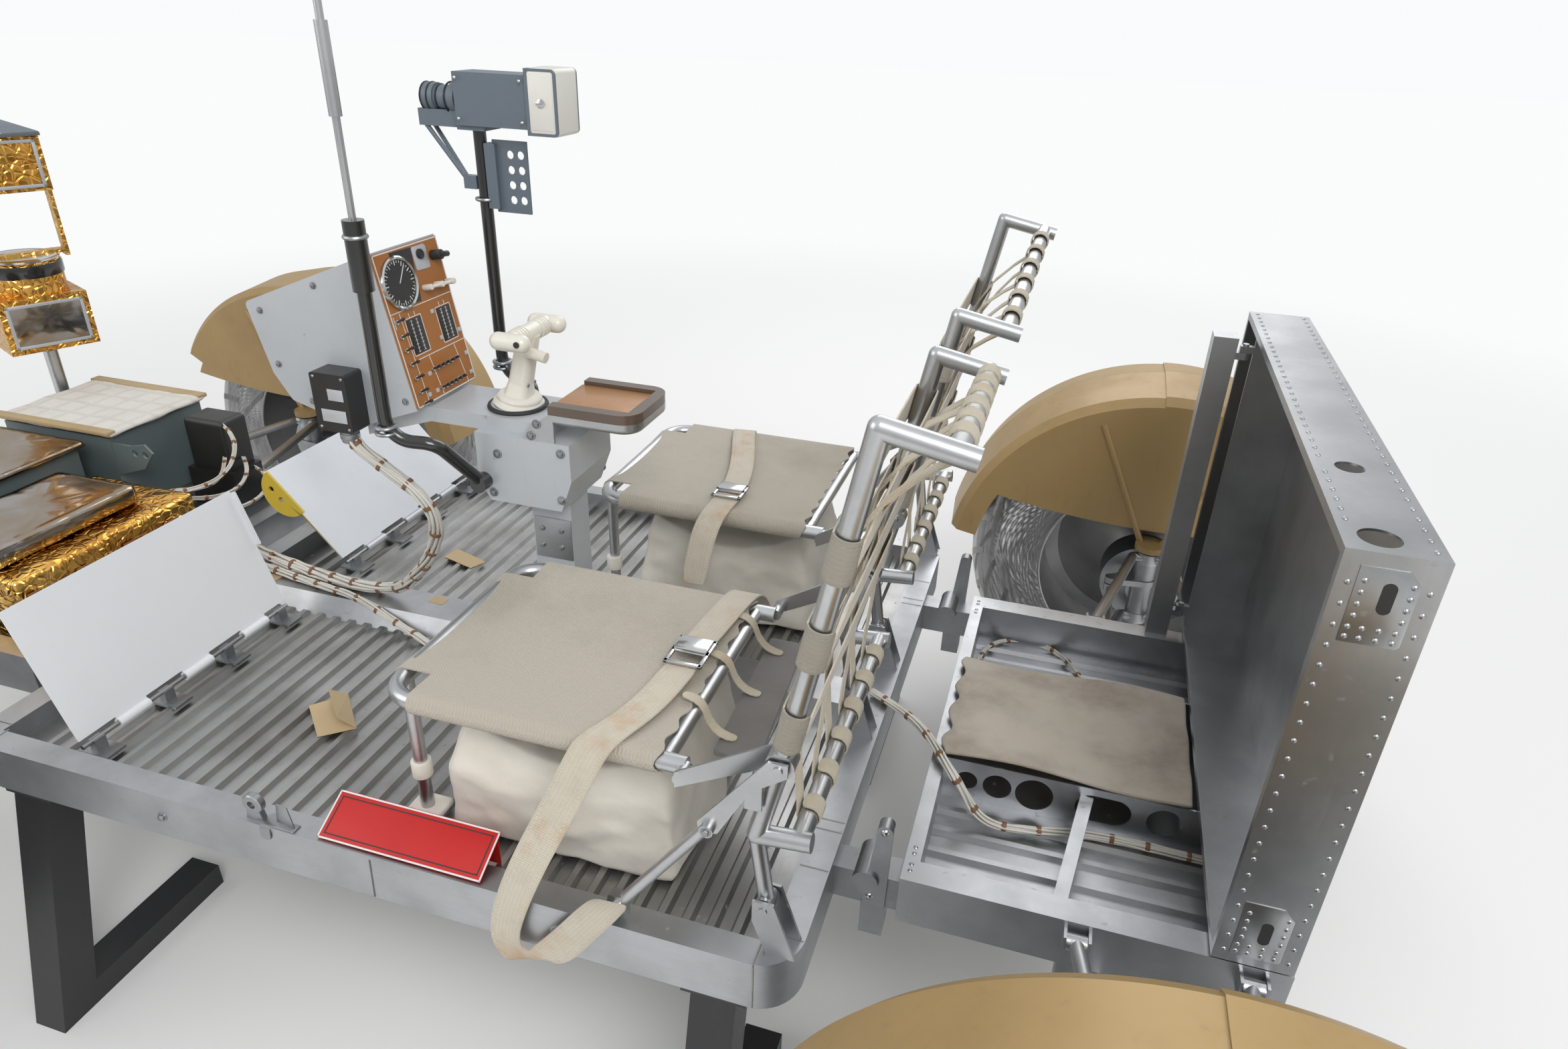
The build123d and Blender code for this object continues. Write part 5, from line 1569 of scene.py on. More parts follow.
@dataclass
class CrewStation(Assembly):
    """Dials, switches and small fittings on the post, console and cameras."""

    board_foot: Point = (0.135, 0.0, 0.9705)
    board_run: Point = (0.1913, 0.0, 0.9815)
    board_gauge: float = 0.004
    board_half: float = 0.086
    dial_spot: tuple[float, float] = (0.042, 0.205)
    dial_radius: float = 0.04
    switches: Pairs = (
        (0.076, 0.148), (0.075, 0.123), (0.074, 0.1), (0.072, 0.076), (0.071, 0.052), (0.07, 0.028),
        (0.069, 0.007), (0.022, 0.053), (0.009, 0.053), (-0.005, 0.053), (-0.019, 0.053), (-0.032, 0.053),
        (0.013, 0.0175), (0.0005, 0.0175), (-0.012, 0.0175), (-0.0245, 0.0175), (-0.037, 0.0175),
    )
    flags: Pairs = (
        (-0.019, 0.143), (-0.077, 0.096), (-0.024, 0.096), (-0.078, 0.053), (-0.077, 0.018), (0.034, 0.049),
        (0.05, 0.017), (0.027, 0.017), (-0.051, 0.053),
    )
    rules: tuple[tuple[float, float, float, float], ...] = (
        (0.084, 0.162, -0.084, 0.162), (0.056, 0.078, -0.084, 0.078), (0.063, 0.159, 0.055, 0.006),
        (0.021, 0.076, 0.012, 0.006), (-0.052, 0.076, -0.063, 0.006), (0.012, 0.085, 0.012, 0.147),
        (0.055, 0.085, 0.055, 0.147), (0.012, 0.147, 0.055, 0.147), (0.012, 0.085, 0.055, 0.085),
        (-0.029, 0.085, -0.029, 0.146), (-0.071, 0.085, -0.071, 0.146), (-0.029, 0.146, -0.071, 0.146),
        (-0.029, 0.085, -0.071, 0.085), (0.026, 0.147, 0.026, 0.154), (0.041, 0.147, 0.041, 0.154),
        (-0.043, 0.146, -0.043, 0.153), (-0.057, 0.146, -0.057, 0.153), (0.08, 0.157, 0.08, 0.138),
    )
    rim_up: tuple[float, float] = (0.0045, 0.2565)
    ticks: int = 36
    scales: tuple[tuple[float, float, float], ...] = (
        (0.026, 0.09, 0.142), (0.041, 0.09, 0.142), (-0.043, 0.09, 0.141), (-0.057, 0.09, 0.141),
    )
    wedge: Pairs = ((0.044, 0.2535), (-0.01, 0.2525), (0.001, 0.166), (0.032, 0.168))
    windows: tuple[tuple[float, float, float, float], ...] = (
        (0.053, 0.014, 0.087, 0.145), (-0.031, -0.069, 0.087, 0.144),
    )
    plate: Pairs = (
        (-0.014, 0.213), (-0.048, 0.212), (-0.05, 0.216), (-0.05, 0.248), (-0.046, 0.252), (-0.016, 0.252),
        (-0.012, 0.248), (-0.012, 0.216),
    )
    console_heads: Pairs = (
        (0.155, 0.985), (0.193, 1.205), (0.3, 1.166), (0.418, 1.112), (0.402, 1.02), (0.345, 0.96),
        (0.262, 0.938),
    )
    post_heads: Pairs = (
        (-0.051, 0.758), (-0.089, 0.758), (-0.049, 0.724), (-0.087, 0.724),
    )
    tray_heads: Pairs = (
        (-0.003, 0.91), (-0.122, 0.928), (-0.118, 0.842), (0.012, 0.836), (-0.082, 0.975), (-0.07, 0.953),
    )
    boot: Pairs = (
        (0.0, 0.0), (0.04, 0.0), (0.044, 0.004), (0.041, 0.009), (0.036, 0.011), (0.038, 0.015),
        (0.035, 0.019), (0.03, 0.021), (0.0, 0.021),
    )
    rest: Pairs = (
        (-0.2375, -0.044), (-0.23, -0.054), (-0.101, -0.0545), (-0.101, 0.0545), (-0.23, 0.054),
        (-0.2375, 0.044),
    )
    lens: Point = (0.2255, -0.176, 1.438)
    lens_rings: Pairs = (
        (0.158, 0.025), (0.176, 0.025), (0.196, 0.0205), (0.212, 0.023), (0.224, 0.023),
    )
    collars: tuple[float, ...] = (0.968, 0.978, 1.276)

    def spot(self, across: float, up: float, lift: float = 0.0) -> Vector:
        """Find a point on the board.

        Args:
            across: distance to the left of the board's middle.
            up: distance from its foot.
            lift: height above its face.

        Returns:
            The point.
        """
        run = Vector(self.board_run)
        out = Vector((-run.z, 0.0, run.x))
        face = Vector(self.board_foot) + run * up + out * (self.board_gauge + lift)
        return face + Vector((0.0, across, 0.0))

    @property
    def outward(self) -> Vector:
        """The way that the board faces."""
        return Vector((-self.board_run[2], 0.0, self.board_run[0]))

    def outline(self, corners: Sequence[tuple[float, float]], lift: float = -0.0002) -> list[Vector]:
        """Corners on the board from (across, up) pairs."""
        return [self.spot(across, up, lift) for across, up in corners]

    def rule(self, start: tuple[float, float], end: tuple[float, float], width: float) -> list[Vector]:
        """Outline a painted line between two places on the board.

        Args:
            start: one end, as (across, up).
            end: the other end.
            width: the line's width.

        Returns:
            Its corners.
        """
        run = Vector((end[0] - start[0], end[1] - start[1])).normalized() * width / 2
        side = Vector((-run.y, run.x))
        a, b = Vector(start) - run, Vector(end) + run
        return self.outline([tuple(a + side), tuple(b + side), tuple(b - side), tuple(a - side)])

    def panel(self) -> None:
        """Fit the board's dial, meters, switches, flags and painted lines."""
        out = self.outward
        lines = [self.rule(entry[:2], entry[2:], 0.0013) for entry in self.rules]
        rim = self.board_half - 0.0012
        foot, top = self.rim_up
        edges = [((rim, foot), (rim, top)), ((-rim, foot), (-rim, top)), ((rim, top), (-rim, top)),
                 ((rim, foot), (-rim, foot))]
        lines += [self.rule(start, end, 0.0022) for start, end in edges]
        across, up = self.dial_spot
        for tick in range(self.ticks):
            angle = math.tau * tick / self.ticks
            near = self.dial_radius * (0.74 if tick % 3 == 0 else 0.82)
            turn = (math.cos(angle), math.sin(angle))
            start = (across + near * turn[0], up + near * turn[1])
            end = (across + self.dial_radius * 0.9 * turn[0], up + self.dial_radius * 0.9 * turn[1])
            mark = self.rule(start, end, 0.0014 if tick % 3 == 0 else 0.0008)
            lines.append([corner + out * 0.0032 for corner in mark])
        needle = self.rule((across, up), (across - 0.02, up + 0.024), 0.0016)
        lines.append([corner + out * 0.0034 for corner in needle])
        for place, foot, top in self.scales:
            lines.append([corner + out * 0.0008 for corner in self.rule((place, foot), (place, top), 0.001)])
            for step in range(9):
                level = foot + (top - foot) * step / 8
                mark = self.rule((place - 0.003, level), (place + 0.003, level), 0.0006)
                lines.append([corner + out * 0.0008 for corner in mark])
        self.strips("panel_lines", lines, out * 0.0005, Surface.DIAL)
        self.strips("panel_wedge", [self.outline(self.wedge)], out * 0.0028, Surface.BLACK, edge=0.0008)
        slots = [
            self.outline([(left, foot), (left, top), (right, top), (right, foot)])
            for left, right, foot, top in self.windows
        ]
        self.strips("panel_slots", slots, out * 0.0011, Surface.BLACK, edge=0.0004)
        disc = [(0.0, 0.0), (self.dial_radius, 0.0), (self.dial_radius, 0.003), (0.0, 0.003)]
        face = Bench.turned("panel_dial", disc, self.spot(across, up), out, 48)
        self.dress(face, Surface.BLACK)
        bezel_section = [
            (self.dial_radius - 0.002, 0.0), (self.dial_radius + 0.0035, 0.0),
            (self.dial_radius + 0.0035, 0.005), (self.dial_radius + 0.001, 0.007),
            (self.dial_radius - 0.002, 0.005),
        ]
        bezel = Bench.turned("panel_bezel", bezel_section, self.spot(across, up), out, 48)
        self.dress(bezel, Surface.CHROME)
        self.strips("panel_plate", [self.outline(self.plate)], out * 0.0016, Surface.SILVER, edge=0.0005)
        small = Bench.turned(
            "panel_small_dial", [(0.0, 0.0), (0.0085, 0.0), (0.0085, 0.004), (0.0065, 0.005), (0.0, 0.0034)],
            self.spot(-0.029, 0.238, 0.001), out, 28,
        )
        start, end = self.spot(-0.062, 0.2295), self.spot(-0.064, 0.229, 0.02)
        knob = Bench.rod("panel_knob", start, end, 0.0085, 18, 0.0015)
        start, end = self.spot(-0.058, 0.23, 0.018), self.spot(-0.08, 0.227, 0.02)
        grip = Bench.rod("panel_grip", start, end, 0.005, 14, 0.001)
        self.dress(Bench.join("panel_knobs", [small, knob, grip]), Surface.BLACK)
        start, end = self.spot(-0.012, 0.184, 0.013), self.spot(-0.083, 0.1795, 0.013)
        lever = [Bench.rod("panel_lever_bar", start, end, 0.003, 12)]
        for place in (-0.016, -0.048, -0.08):
            level = 0.184 - (place + 0.016) * -0.06
            start, end = self.spot(place, level), self.spot(place, level, 0.018)
            lever.append(Bench.rod(f"panel_lever_{len(lever)}", start, end, 0.0052, 14, 0.0012))
        self.dress(Bench.join("panel_lever", lever), Surface.HANDLE, slot="white_panel")
        nut = Bench.rod("switch_nut", (0, 0, -0.0005), (0, 0, 0.0028), 0.0046, 6, 0.0005)
        seats = [Bench.facing(self.spot(*place), out) for place in self.switches]
        self.dress(Bench.strew("switch_nuts", nut, seats), Surface.CHROME)
        stalk = Bench.rod("switch_stalk", (0, 0, 0.001), (0.004, 0, 0.0135), 0.0016, 10)
        tip = Bench.rod("switch_tip", (0.0036, 0, 0.012), (0.0056, 0, 0.0185), 0.0026, 12, 0.0008)
        model = Bench.join("switch_model", [stalk, tip])
        self.dress(Bench.strew("switch_levers", model, seats), Surface.BLACK)
        wide, tall = 0.0042, 0.0035
        plates = [
            self.outline(
                [(a + wide, b + tall), (a + wide, b - tall), (a - wide, b - tall), (a - wide, b + tall)]
            )
            for a, b in self.flags
        ]
        self.strips("panel_flags", plates, out * 0.002, Surface.SILVER, edge=0.0004)

    def console_fittings(self) -> None:
        """Bolt the console's sides and label its black box with blank plates."""
        heads = [
            ((x, side * 0.088, z), (0.0, side, 0.0))
            for side in (-1, 1)
            for x, z in self.console_heads
        ]
        self.bolts("console_bolts", heads, 0.0042, Surface.ZINC)
        labels = [
            [(x, 0.1319, z), (x + wide, 0.1319, z), (x + wide, 0.1319, z + tall), (x, 0.1319, z + tall)]
            for x, z, wide, tall in ((0.242, 0.987, 0.03, 0.02), (0.242, 0.948, 0.048, 0.022))
        ]
        self.strips("box_labels", labels, Vector((0, 0.0007, 0)), Surface.SILVER, edge=0.0002)
        ends = [((x, 0.132, z), (0.0, 1.0, 0.0)) for x in (0.241, 0.296) for z in (0.937, 1.026)]
        self.rivets("box_screws", ends, 0.0028, Surface.ZINC)
        plug = Bench.rod("box_plug", (0.262, 0.108, 0.9305), (0.262, 0.108, 0.905), 0.0145, 24, 0.002)
        nut = Bench.rod("box_nut", (0.262, 0.108, 0.922), (0.262, 0.108, 0.912), 0.0165, 12, 0.001)
        self.dress(Bench.join("harness_plug", [plug, nut]), Surface.ZINC)

    def post_fittings(self) -> None:
        """Bolt the post and its housing, and dress the hand controller's foot and grip."""
        heads = []
        for side in (-1, 1):
            for half, group in ((0.032, self.post_heads), (0.075, self.tray_heads)):
                heads += [((x, side * half, z), (0.0, side, 0.0)) for x, z in group]
        self.bolts("post_bolts", heads, 0.0055, Surface.ZINC)
        doublers = [
            [(-0.108, y, 0.7), (-0.036, y, 0.7), (-0.036, y, 0.78), (-0.108, y, 0.78)]
            for y in (0.0318, -0.0343)
        ]
        self.strips("post_doublers", doublers, Vector((0, 0.0025, 0)), Surface.FRAME, edge=0.0008)
        boot = Bench.turned("controller_boot", self.boot, (-0.007, 0.0, 0.9725), (-0.16, 0.0, 1.0), 48)
        Bench.ruffle(boot, 0.02, 0.003, 2.0)
        self.dress(boot, Surface.BAG, smooth=1.2)
        collar = Bench.ring("controller_collar", (-0.005, 0.0, 0.9728), (0.0, 0.0, 1.0), 0.0475, 0.0042, 48)
        self.dress(collar, Surface.RUBBER)
        pair = [((-0.0345, side * 0.011, 1.014), (-0.96, 0.0, 0.1)) for side in (-1, 1)]
        self.rivets("controller_rivets", pair, 0.0034, Surface.ZINC)
        # A black disc in the grip's hole is painted shade.
        disc = [(0.0, 0.0), (0.0052, 0.0), (0.0052, 0.0016), (0.0, 0.0012)]
        eye = Bench.turned("grip_hole_shade", disc, (-0.058, 0.0743, 1.105), (0, 1, 0), 20)
        self.dress(eye, Surface.BLACK)

    def armrest(self) -> None:
        """Lay the armrest's worn orange-brown centre in its rim."""
        corners = [(x, y, 1.0009) for x, y in self.rest]
        piece = Bench.plate("armrest_centre", corners, Vector((0, 0, 0.0026)), 0.001)
        self.dress(piece, Surface.PAD_CENTRE, smooth=0.8)

    def film_camera(self) -> None:
        """Fit the film camera's pale magazine, lens rings and screws."""
        magazine = Bench.block(
            "film_magazine", (-0.0418, -0.2146, 1.3905), (0.014, -0.1374, 1.4938), 0.0075, 3
        )
        lid = Bench.block("film_lid", (-0.035, -0.1384, 1.4), (0.008, -0.1366, 1.484), 0.0008, 2)
        self.dress(Bench.join("film_magazine", [magazine, lid]), Surface.CREAM)
        latch = Bench.rod("film_latch", (-0.014, -0.1374, 1.442), (-0.014, -0.134, 1.442), 0.007, 20, 0.001)
        bar = Bench.block("film_bar", (-0.022, -0.135, 1.4405), (-0.006, -0.1325, 1.4435), 0.0005)
        self.dress(Bench.join("film_latch", [latch, bar]), Surface.CHROME)
        rings = [
            Bench.ring(f"lens_ring_{index}", (x, *self.lens[1:]), (1, 0, 0), radius, 0.0016, 36)
            for index, (x, radius) in enumerate(self.lens_rings)
        ]
        self.dress(Bench.join("lens_rings", rings), Surface.BLACK)
        disc = [(0.0, 0.0), (0.0185, 0.0), (0.0185, 0.001), (0.0, 0.003)]
        glass = Bench.turned("lens_glass", disc, self.lens, (1, 0, 0), 32)
        self.dress(glass, Surface.GLOSS_BLACK)
        screws = [((x, -0.138, z), (0, 1, 0)) for x in (0.024, 0.143) for z in (1.41, 1.473)]
        self.rivets("film_screws", screws, 0.0028, Surface.CHROME)

    def handhold_rings(self) -> None:
        """Ring the foot and the top of each handhold."""
        rings = [
            Bench.ring(
                f"handhold_ring_{side}_{index}", (0.13, side * 0.176, z), (0, 0, 1), 0.0155, 0.0035, 28
            )
            for side in (-1, 1)
            for index, z in enumerate(self.collars)
        ]
        self.dress(Bench.join("handhold_rings", rings), Surface.ZINC)

    def build(self) -> None:
        """Fit the whole crew station."""
        self.panel()
        self.console_fittings()
        self.post_fittings()
        self.armrest()
        self.film_camera()
        self.handhold_rings()


@dataclass
class Running(Assembly):
    """Tread strips and rim beads of the four wheels."""

    axle_x: float = 1.143
    axle_z: float = 0.409
    wheel_y: float = 0.9145
    crown: float = 0.40895
    arc: float = 0.1532
    treads: int = 26
    tread_width: float = 0.019
    tread_gauge: float = 0.002
    tread_proud: float = 0.0008
    tread_reach: float = 0.098
    tread_lead: float = 0.155
    rim_radius: float = 0.2365
    rim_bead: float = 0.0035
    rim_reach: float = 0.0995

    def radius(self, across: float) -> float:
        """The tyre's radius at a distance from its middle."""
        return self.crown - self.arc + math.sqrt(self.arc ** 2 - across ** 2)

    def chevron(self, side: int) -> Piece:
        """One slanting tread strip, at the top of a wheel that stands at the origin.

        Args:
            side: 1 for the half towards Y, -1 for the other.

        Returns:
            The strip.
        """

        def lay(u: float, v: float) -> Vector:
            """Place a point of the strip.

            Args:
                u: its share of the length.
                v: its share of the width.

            Returns:
                The point.
            """
            across = side * (0.004 + (self.tread_reach - 0.004) * u)
            angle = self.tread_lead * (1 - u) + (v - 0.5) * self.tread_width / self.crown
            reach = self.radius(across) + self.tread_proud - self.tread_gauge / 2
            return Vector((reach * math.sin(angle), across, reach * math.cos(angle)))

        piece = Bench.spread(f"tread_{side}", (7, 1), (0.12, self.tread_width), lay)
        Bench.thicken(piece, self.tread_gauge)
        return piece

    def wheel(self, name: str, end: int, side: int) -> None:
        """Dress one wheel.

        Args:
            name: the wheel's name.
            end: 1 at the front, -1 at the rear.
            side: 1 at the left, -1 at the right.
        """
        hub = Vector((end * self.axle_x, side * self.wheel_y, self.axle_z))
        body = f"{name}_wheel"
        for half in (-1, 1):
            model = self.chevron(half)
            turns = [
                Matrix.Translation(hub) @ Matrix.Rotation(
                    math.tau * (index + (half > 0) * 0.5) / self.treads, 4, "Y"
                )
                for index in range(self.treads)
            ]
            treads = Bench.strew(f"treads_{name}_{'outer' if half * side > 0 else 'inner'}", model, turns)
            Bench.weld(treads)
            self.dress(treads, Surface.TREAD, body, smooth=0.5)
        rings = []
        for index, edge in enumerate((-self.rim_reach, self.rim_reach)):
            spot = hub + Vector((0, edge, 0))
            rings.append(
                Bench.ring(f"rim_{name}_{index}", spot, (0, 1, 0), self.rim_radius, self.rim_bead, 72)
            )
        self.dress(Bench.join(f"rims_{name}", rings), Surface.WHEEL, body)

    def build(self) -> None:
        """Dress the four corners."""
        for end_name, end in (("front", 1), ("rear", -1)):
            for side_name, side in SIDES:
                self.wheel(f"{end_name}_{side_name}", end, side)


@dataclass
class Bundles(Assembly):
    """Winds and laces bundles of leads."""

    def bundle(
        self, name: str, route: Sequence[Point], core: float, lead: float, leads: int, spread: float,
        replaces: Sequence[str] = (), tie_pitch: float = 0.055,
    ) -> None:
        """Args:
            name: the bundle's name.
            route: control points of its middle.
            core: radius of the middle lead.
            lead: radius of each outer lead.
            leads: number of outer leads.
            spread: radius at which the outer leads lie.
            replaces: CAD nodes that it stands for.
            tie_pitch: distance between ties.
        """
        middle = Bench.curve(name, route)
        bare = bpy.data.meshes.new_from_object(middle)
        line = [corner.co.copy() for corner in bare.vertices]
        bpy.data.meshes.remove(bare)
        Bench.swell(middle, core, 3)
        middle.data.materials.append(self.shop.finish(Surface.LEADS))
        length = sum((b - a).length for a, b in zip(line, line[1:]))
        outer, ties = self.strands(name, line, lead, leads, spread, tie_pitch)
        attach(middle, ROOT)
        if replaces:
            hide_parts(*replaces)
        tuple(line[0])
        log.info("%s: bundle of %d leads, %.3f m", name, leads + 1, length)

    def strands(
        self, name: str, line: Sequence[Vector], lead: float, leads: int, spread: float, tie_pitch: float
    ) -> tuple[Piece, Piece]:
        """Wind the outer leads round the middle one and lace them.

        Args:
            name: the bundle's name.
            line: points along its middle.
            lead: radius of each outer lead.
            leads: their number.
            spread: radius at which they lie.
            tie_pitch: distance between ties.

        Returns:
            The leads and the ties.
        """
        run = (line[1] - line[0]).normalized()
        side = run.orthogonal().normalized()
        frames = []
        travelled = 0.0
        for index, spot in enumerate(line):
            ahead = line[min(index + 1, len(line) - 1)] - line[max(index - 1, 0)]
            run = ahead.normalized()
            side = (side - run * side.dot(run)).normalized()
            if index:
                travelled += (spot - line[index - 1]).length
            frames.append((spot, run, side, run.cross(side), travelled))
        tubes, bands = [], []
        for number in range(leads):
            path = []
            for spot, run, side, up, gone in frames[::2] + [frames[-1]]:
                loose = 1 + 0.22 * math.sin(gone * 31 + number * 2.3) * math.sin(
                    gone * math.pi / tie_pitch
                ) ** 2
                angle = math.tau * number / leads + gone * 5.0 + 0.35 * math.sin(gone * 17 + number)
                path.append(tuple(spot + (side * math.cos(angle) + up * math.sin(angle)) * spread * loose))
            tubes.append(Bench.line(f"{name}_lead_{number}", path, lead, 1))
        outer = Bench.join(f"{name}_leads", tubes)
        self.dress(outer, Surface.LEADS, smooth=1.2)
        due = tie_pitch / 2
        for spot, run, side, up, gone in frames:
            if gone >= due:
                due += tie_pitch
                reach = run * 0.0035
                title = f"{name}_tie_{len(bands)}"
                bands.append(Bench.rod(title, spot - reach, spot + reach, spread + lead * 1.12, 12, 0.0006))
        ties = Bench.join(f"{name}_ties", bands)
        self.dress(ties, Surface.TIE, smooth=0.6)
        return outer, ties


@dataclass
class Harnesses(Bundles):
    """Two bundles of white leads laced with brown ties, each held at both ends."""

    front: Route = (
        (0.262, 0.108, 0.9297), (0.262, 0.108, 0.906), (0.228, 0.106, 0.878), (0.186, 0.102, 0.85),
        (0.148, 0.099, 0.822), (0.128, 0.094, 0.788), (0.13, 0.086, 0.748), (0.148, 0.078, 0.706),
        (0.178, 0.064, 0.66), (0.222, 0.044, 0.612), (0.276, 0.016, 0.56), (0.334, -0.006, 0.529),
        (0.394, 0.004, 0.527), (0.48, -0.004, 0.528), (0.56, -0.014, 0.53), (0.63, -0.024, 0.535),
        (0.7, -0.038, 0.54), (0.77, -0.04, 0.544), (0.8347, -0.04, 0.544),
    )
    rear: Route = (
        (-0.66, 0.004, 0.529), (-0.725, 0.04, 0.529), (-0.772, 0.084, 0.53), (-0.822, 0.167, 0.534),
        (-0.848, 0.174, 0.502), (-0.87, 0.178, 0.47), (-0.9, 0.187, 0.458), (-0.969, 0.176, 0.458),
        (-1.057, 0.154, 0.458), (-1.144, 0.156, 0.458), (-1.2597, 0.156, 0.458),
    )

    def build(self) -> None:
        """Lay the harnesses."""
        self.bundle("harness_front_core", self.front, 0.0042, 0.0031, 9, 0.0088, ["harness_front"])
        self.bundle("harness_rear_core", self.rear, 0.0028, 0.0022, 6, 0.0052, ["harness_rear"])


@dataclass
class Belts(Assembly):
    """Lap belts of both seats, with their buckles and a stiff board behind the near pan."""

    width: float = 0.048
    gauge: float = 0.0024
    near_seat: Route = (
        (-0.47, 0.07, 0.69), (-0.468, 0.086, 0.728), (-0.465, 0.112, 0.7585), (-0.46, 0.15, 0.7645),
        (-0.455, 0.2, 0.764), (-0.45, 0.25, 0.764), (-0.447, 0.29, 0.765),
    )
    near_side: Route = (
        (-0.446, 0.345, 0.765), (-0.443, 0.38, 0.764), (-0.438, 0.43, 0.764), (-0.428, 0.475, 0.765),
        (-0.414, 0.515, 0.7665), (-0.402, 0.541, 0.763), (-0.394, 0.557, 0.743), (-0.38, 0.566, 0.708),
        (-0.357, 0.58, 0.656), (-0.331, 0.6, 0.596), (-0.31, 0.611, 0.54), (-0.294, 0.6135, 0.49),
        (-0.287, 0.614, 0.452), (-0.298, 0.6145, 0.426), (-0.324, 0.6145, 0.422), (-0.356, 0.614, 0.444),
        (-0.388, 0.613, 0.485), (-0.415, 0.61, 0.524), (-0.434, 0.601, 0.546), (-0.4415, 0.59, 0.551),
    )
    far_seat: Route = (
        (-0.3, -0.062, 0.64), (-0.306, -0.075, 0.7), (-0.312, -0.095, 0.745), (-0.318, -0.13, 0.7625),
        (-0.322, -0.18, 0.764), (-0.318, -0.24, 0.7635), (-0.305, -0.31, 0.764), (-0.285, -0.38, 0.764),
        (-0.262, -0.45, 0.765), (-0.246, -0.5, 0.766), (-0.238, -0.535, 0.76), (-0.234, -0.552, 0.73),
        (-0.232, -0.56, 0.67), (-0.232, -0.566, 0.6), (-0.233, -0.572, 0.55), (-0.236, -0.58, 0.5235),
    )
    near_side_lean: Route = (
        (1, 0, 0), (1, 0, 0), (1, 0.05, 0.05), (0.93, 0, 0.35), (0.92, 0, 0.38), (0.96, 0, 0.28),
        (0.99, 0, -0.1), (0.62, 0, -0.78), (0.78, 0, 0.62), (0.8, 0.1, 0.6), (0.9, 0.3, 0.3),
    )
    far_seat_lean: Route = (
        (1, 0, 0), (1, 0, 0), (1, 0.1, 0), (1, 0.2, 0), (1, 0.2, 0), (1, 0.1, 0), (1, 0, 0), (1, 0, 0),
    )
    tie_y: tuple[float, ...] = (0.19, 0.3, 0.405)
    tie_run: Pairs = (
        (-0.548, 0.7055), (-0.524, 0.7065), (-0.506, 0.728), (-0.503, 0.748), (-0.49, 0.761), (-0.47, 0.7625),
    )

    def ribbon(self, name: str, path: Sequence[Point], lean: Sequence[Point]) -> Piece:
        """Strap along a path whose width turns from one direction to the next.

        Args:
            name: the strap's name.
            path: points along its middle.
            lean: directions of its width, spread evenly along the path.

        Returns:
            The strap.
        """
        points = [Vector(point) for point in path]
        last = len(points) - 1
        length = sum((b - a).length for a, b in zip(points, points[1:]))

        def lay(u: float, v: float) -> Vector:
            """Place a point of the strap.

            Args:
                u: its share of the length.
                v: its share of the width.

            Returns:
                The point.
            """
            place = u * (len(lean) - 1)
            low = min(int(place), len(lean) - 2)
            side = Vector(lean[low]).lerp(Vector(lean[low + 1]), place - low).normalized()
            return points[round(u * last)] + side * self.width * (v - 0.5)

        piece = Bench.spread(name, (last, 4), (length, self.width), lay)
        Bench.divide(piece, 2)
        Bench.thicken(piece, self.gauge)
        return piece

    def buckle(self, name: str, middle: Point, size: tuple[float, float]) -> Piece:
        """Flat sprung frame of a belt, its tongue across it.

        Args:
            name: the buckle's name.
            middle: its middle.
            size: its length along the belt and its width.

        Returns:
            The buckle.
        """
        x, y, z = middle
        long, wide = size[0] / 2, size[1] / 2
        bars = []
        for index, (x0, x1, y0, y1) in enumerate((
            (x - wide, x + wide, y - long, y - long + 0.008),
            (x - wide, x + wide, y + long - 0.008, y + long),
            (x - wide, x - wide + 0.007, y - long, y + long),
            (x + wide - 0.007, x + wide, y - long, y + long),
            (x - wide, x + wide, y - 0.006, y + 0.006),
        )):
            bars.append(Bench.block(f"{name}_{index}", (x0, y0, z - 0.0022), (x1, y1, z + 0.0022), 0.0016))
        low, high = (x - wide + 0.004, y - long + 0.004, z + 0.001), (x + wide - 0.004, y + 0.004, z + 0.006)
        lid = Bench.block(f"{name}_lid", low, high, 0.002)
        return Bench.join(name, [*bars, lid])

    def build(self) -> None:
        """Lay the belts over the seats."""
        seat = self.ribbon("belt_inner", self.near_seat, self.near_side_lean[:2])
        side = self.ribbon("belt_outer", self.near_side, self.near_side_lean)
        far = self.ribbon("belt_far", self.far_seat, self.far_seat_lean)
        self.dress(Bench.join("lap_belts", [seat, side, far]), Surface.BELT, smooth=1.2)
        near = self.buckle("buckle_near", (-0.4465, 0.318, 0.769), (0.07, 0.058))
        other = self.buckle("buckle_far", (-0.32, -0.205, 0.769), (0.06, 0.058))
        self.dress(Bench.join("belt_buckles", [near, other]), Surface.CHROME, slot="zinc_fittings")
        board = Bench.plate(
            "stiff_board",
            [(-0.516, 0.15, 0.694), (-0.572, 0.15, 0.694), (-0.59, 0.445, 0.694), (-0.524, 0.434, 0.694)],
            Vector((0, 0, 0.01)), 0.003,
        )
        self.dress(board, Surface.BOARD_CLOTH)
        ties = [
            Bench.strap(
                f"board_tie_{index}", [(x, y, z) for x, z in self.tie_run], (0, 1, 0), 0.016, 0.0016, 1
            )
            for index, y in enumerate(self.tie_y)
        ]
        self.dress(Bench.join("board_ties", ties), Surface.STRAP, smooth=1.2)


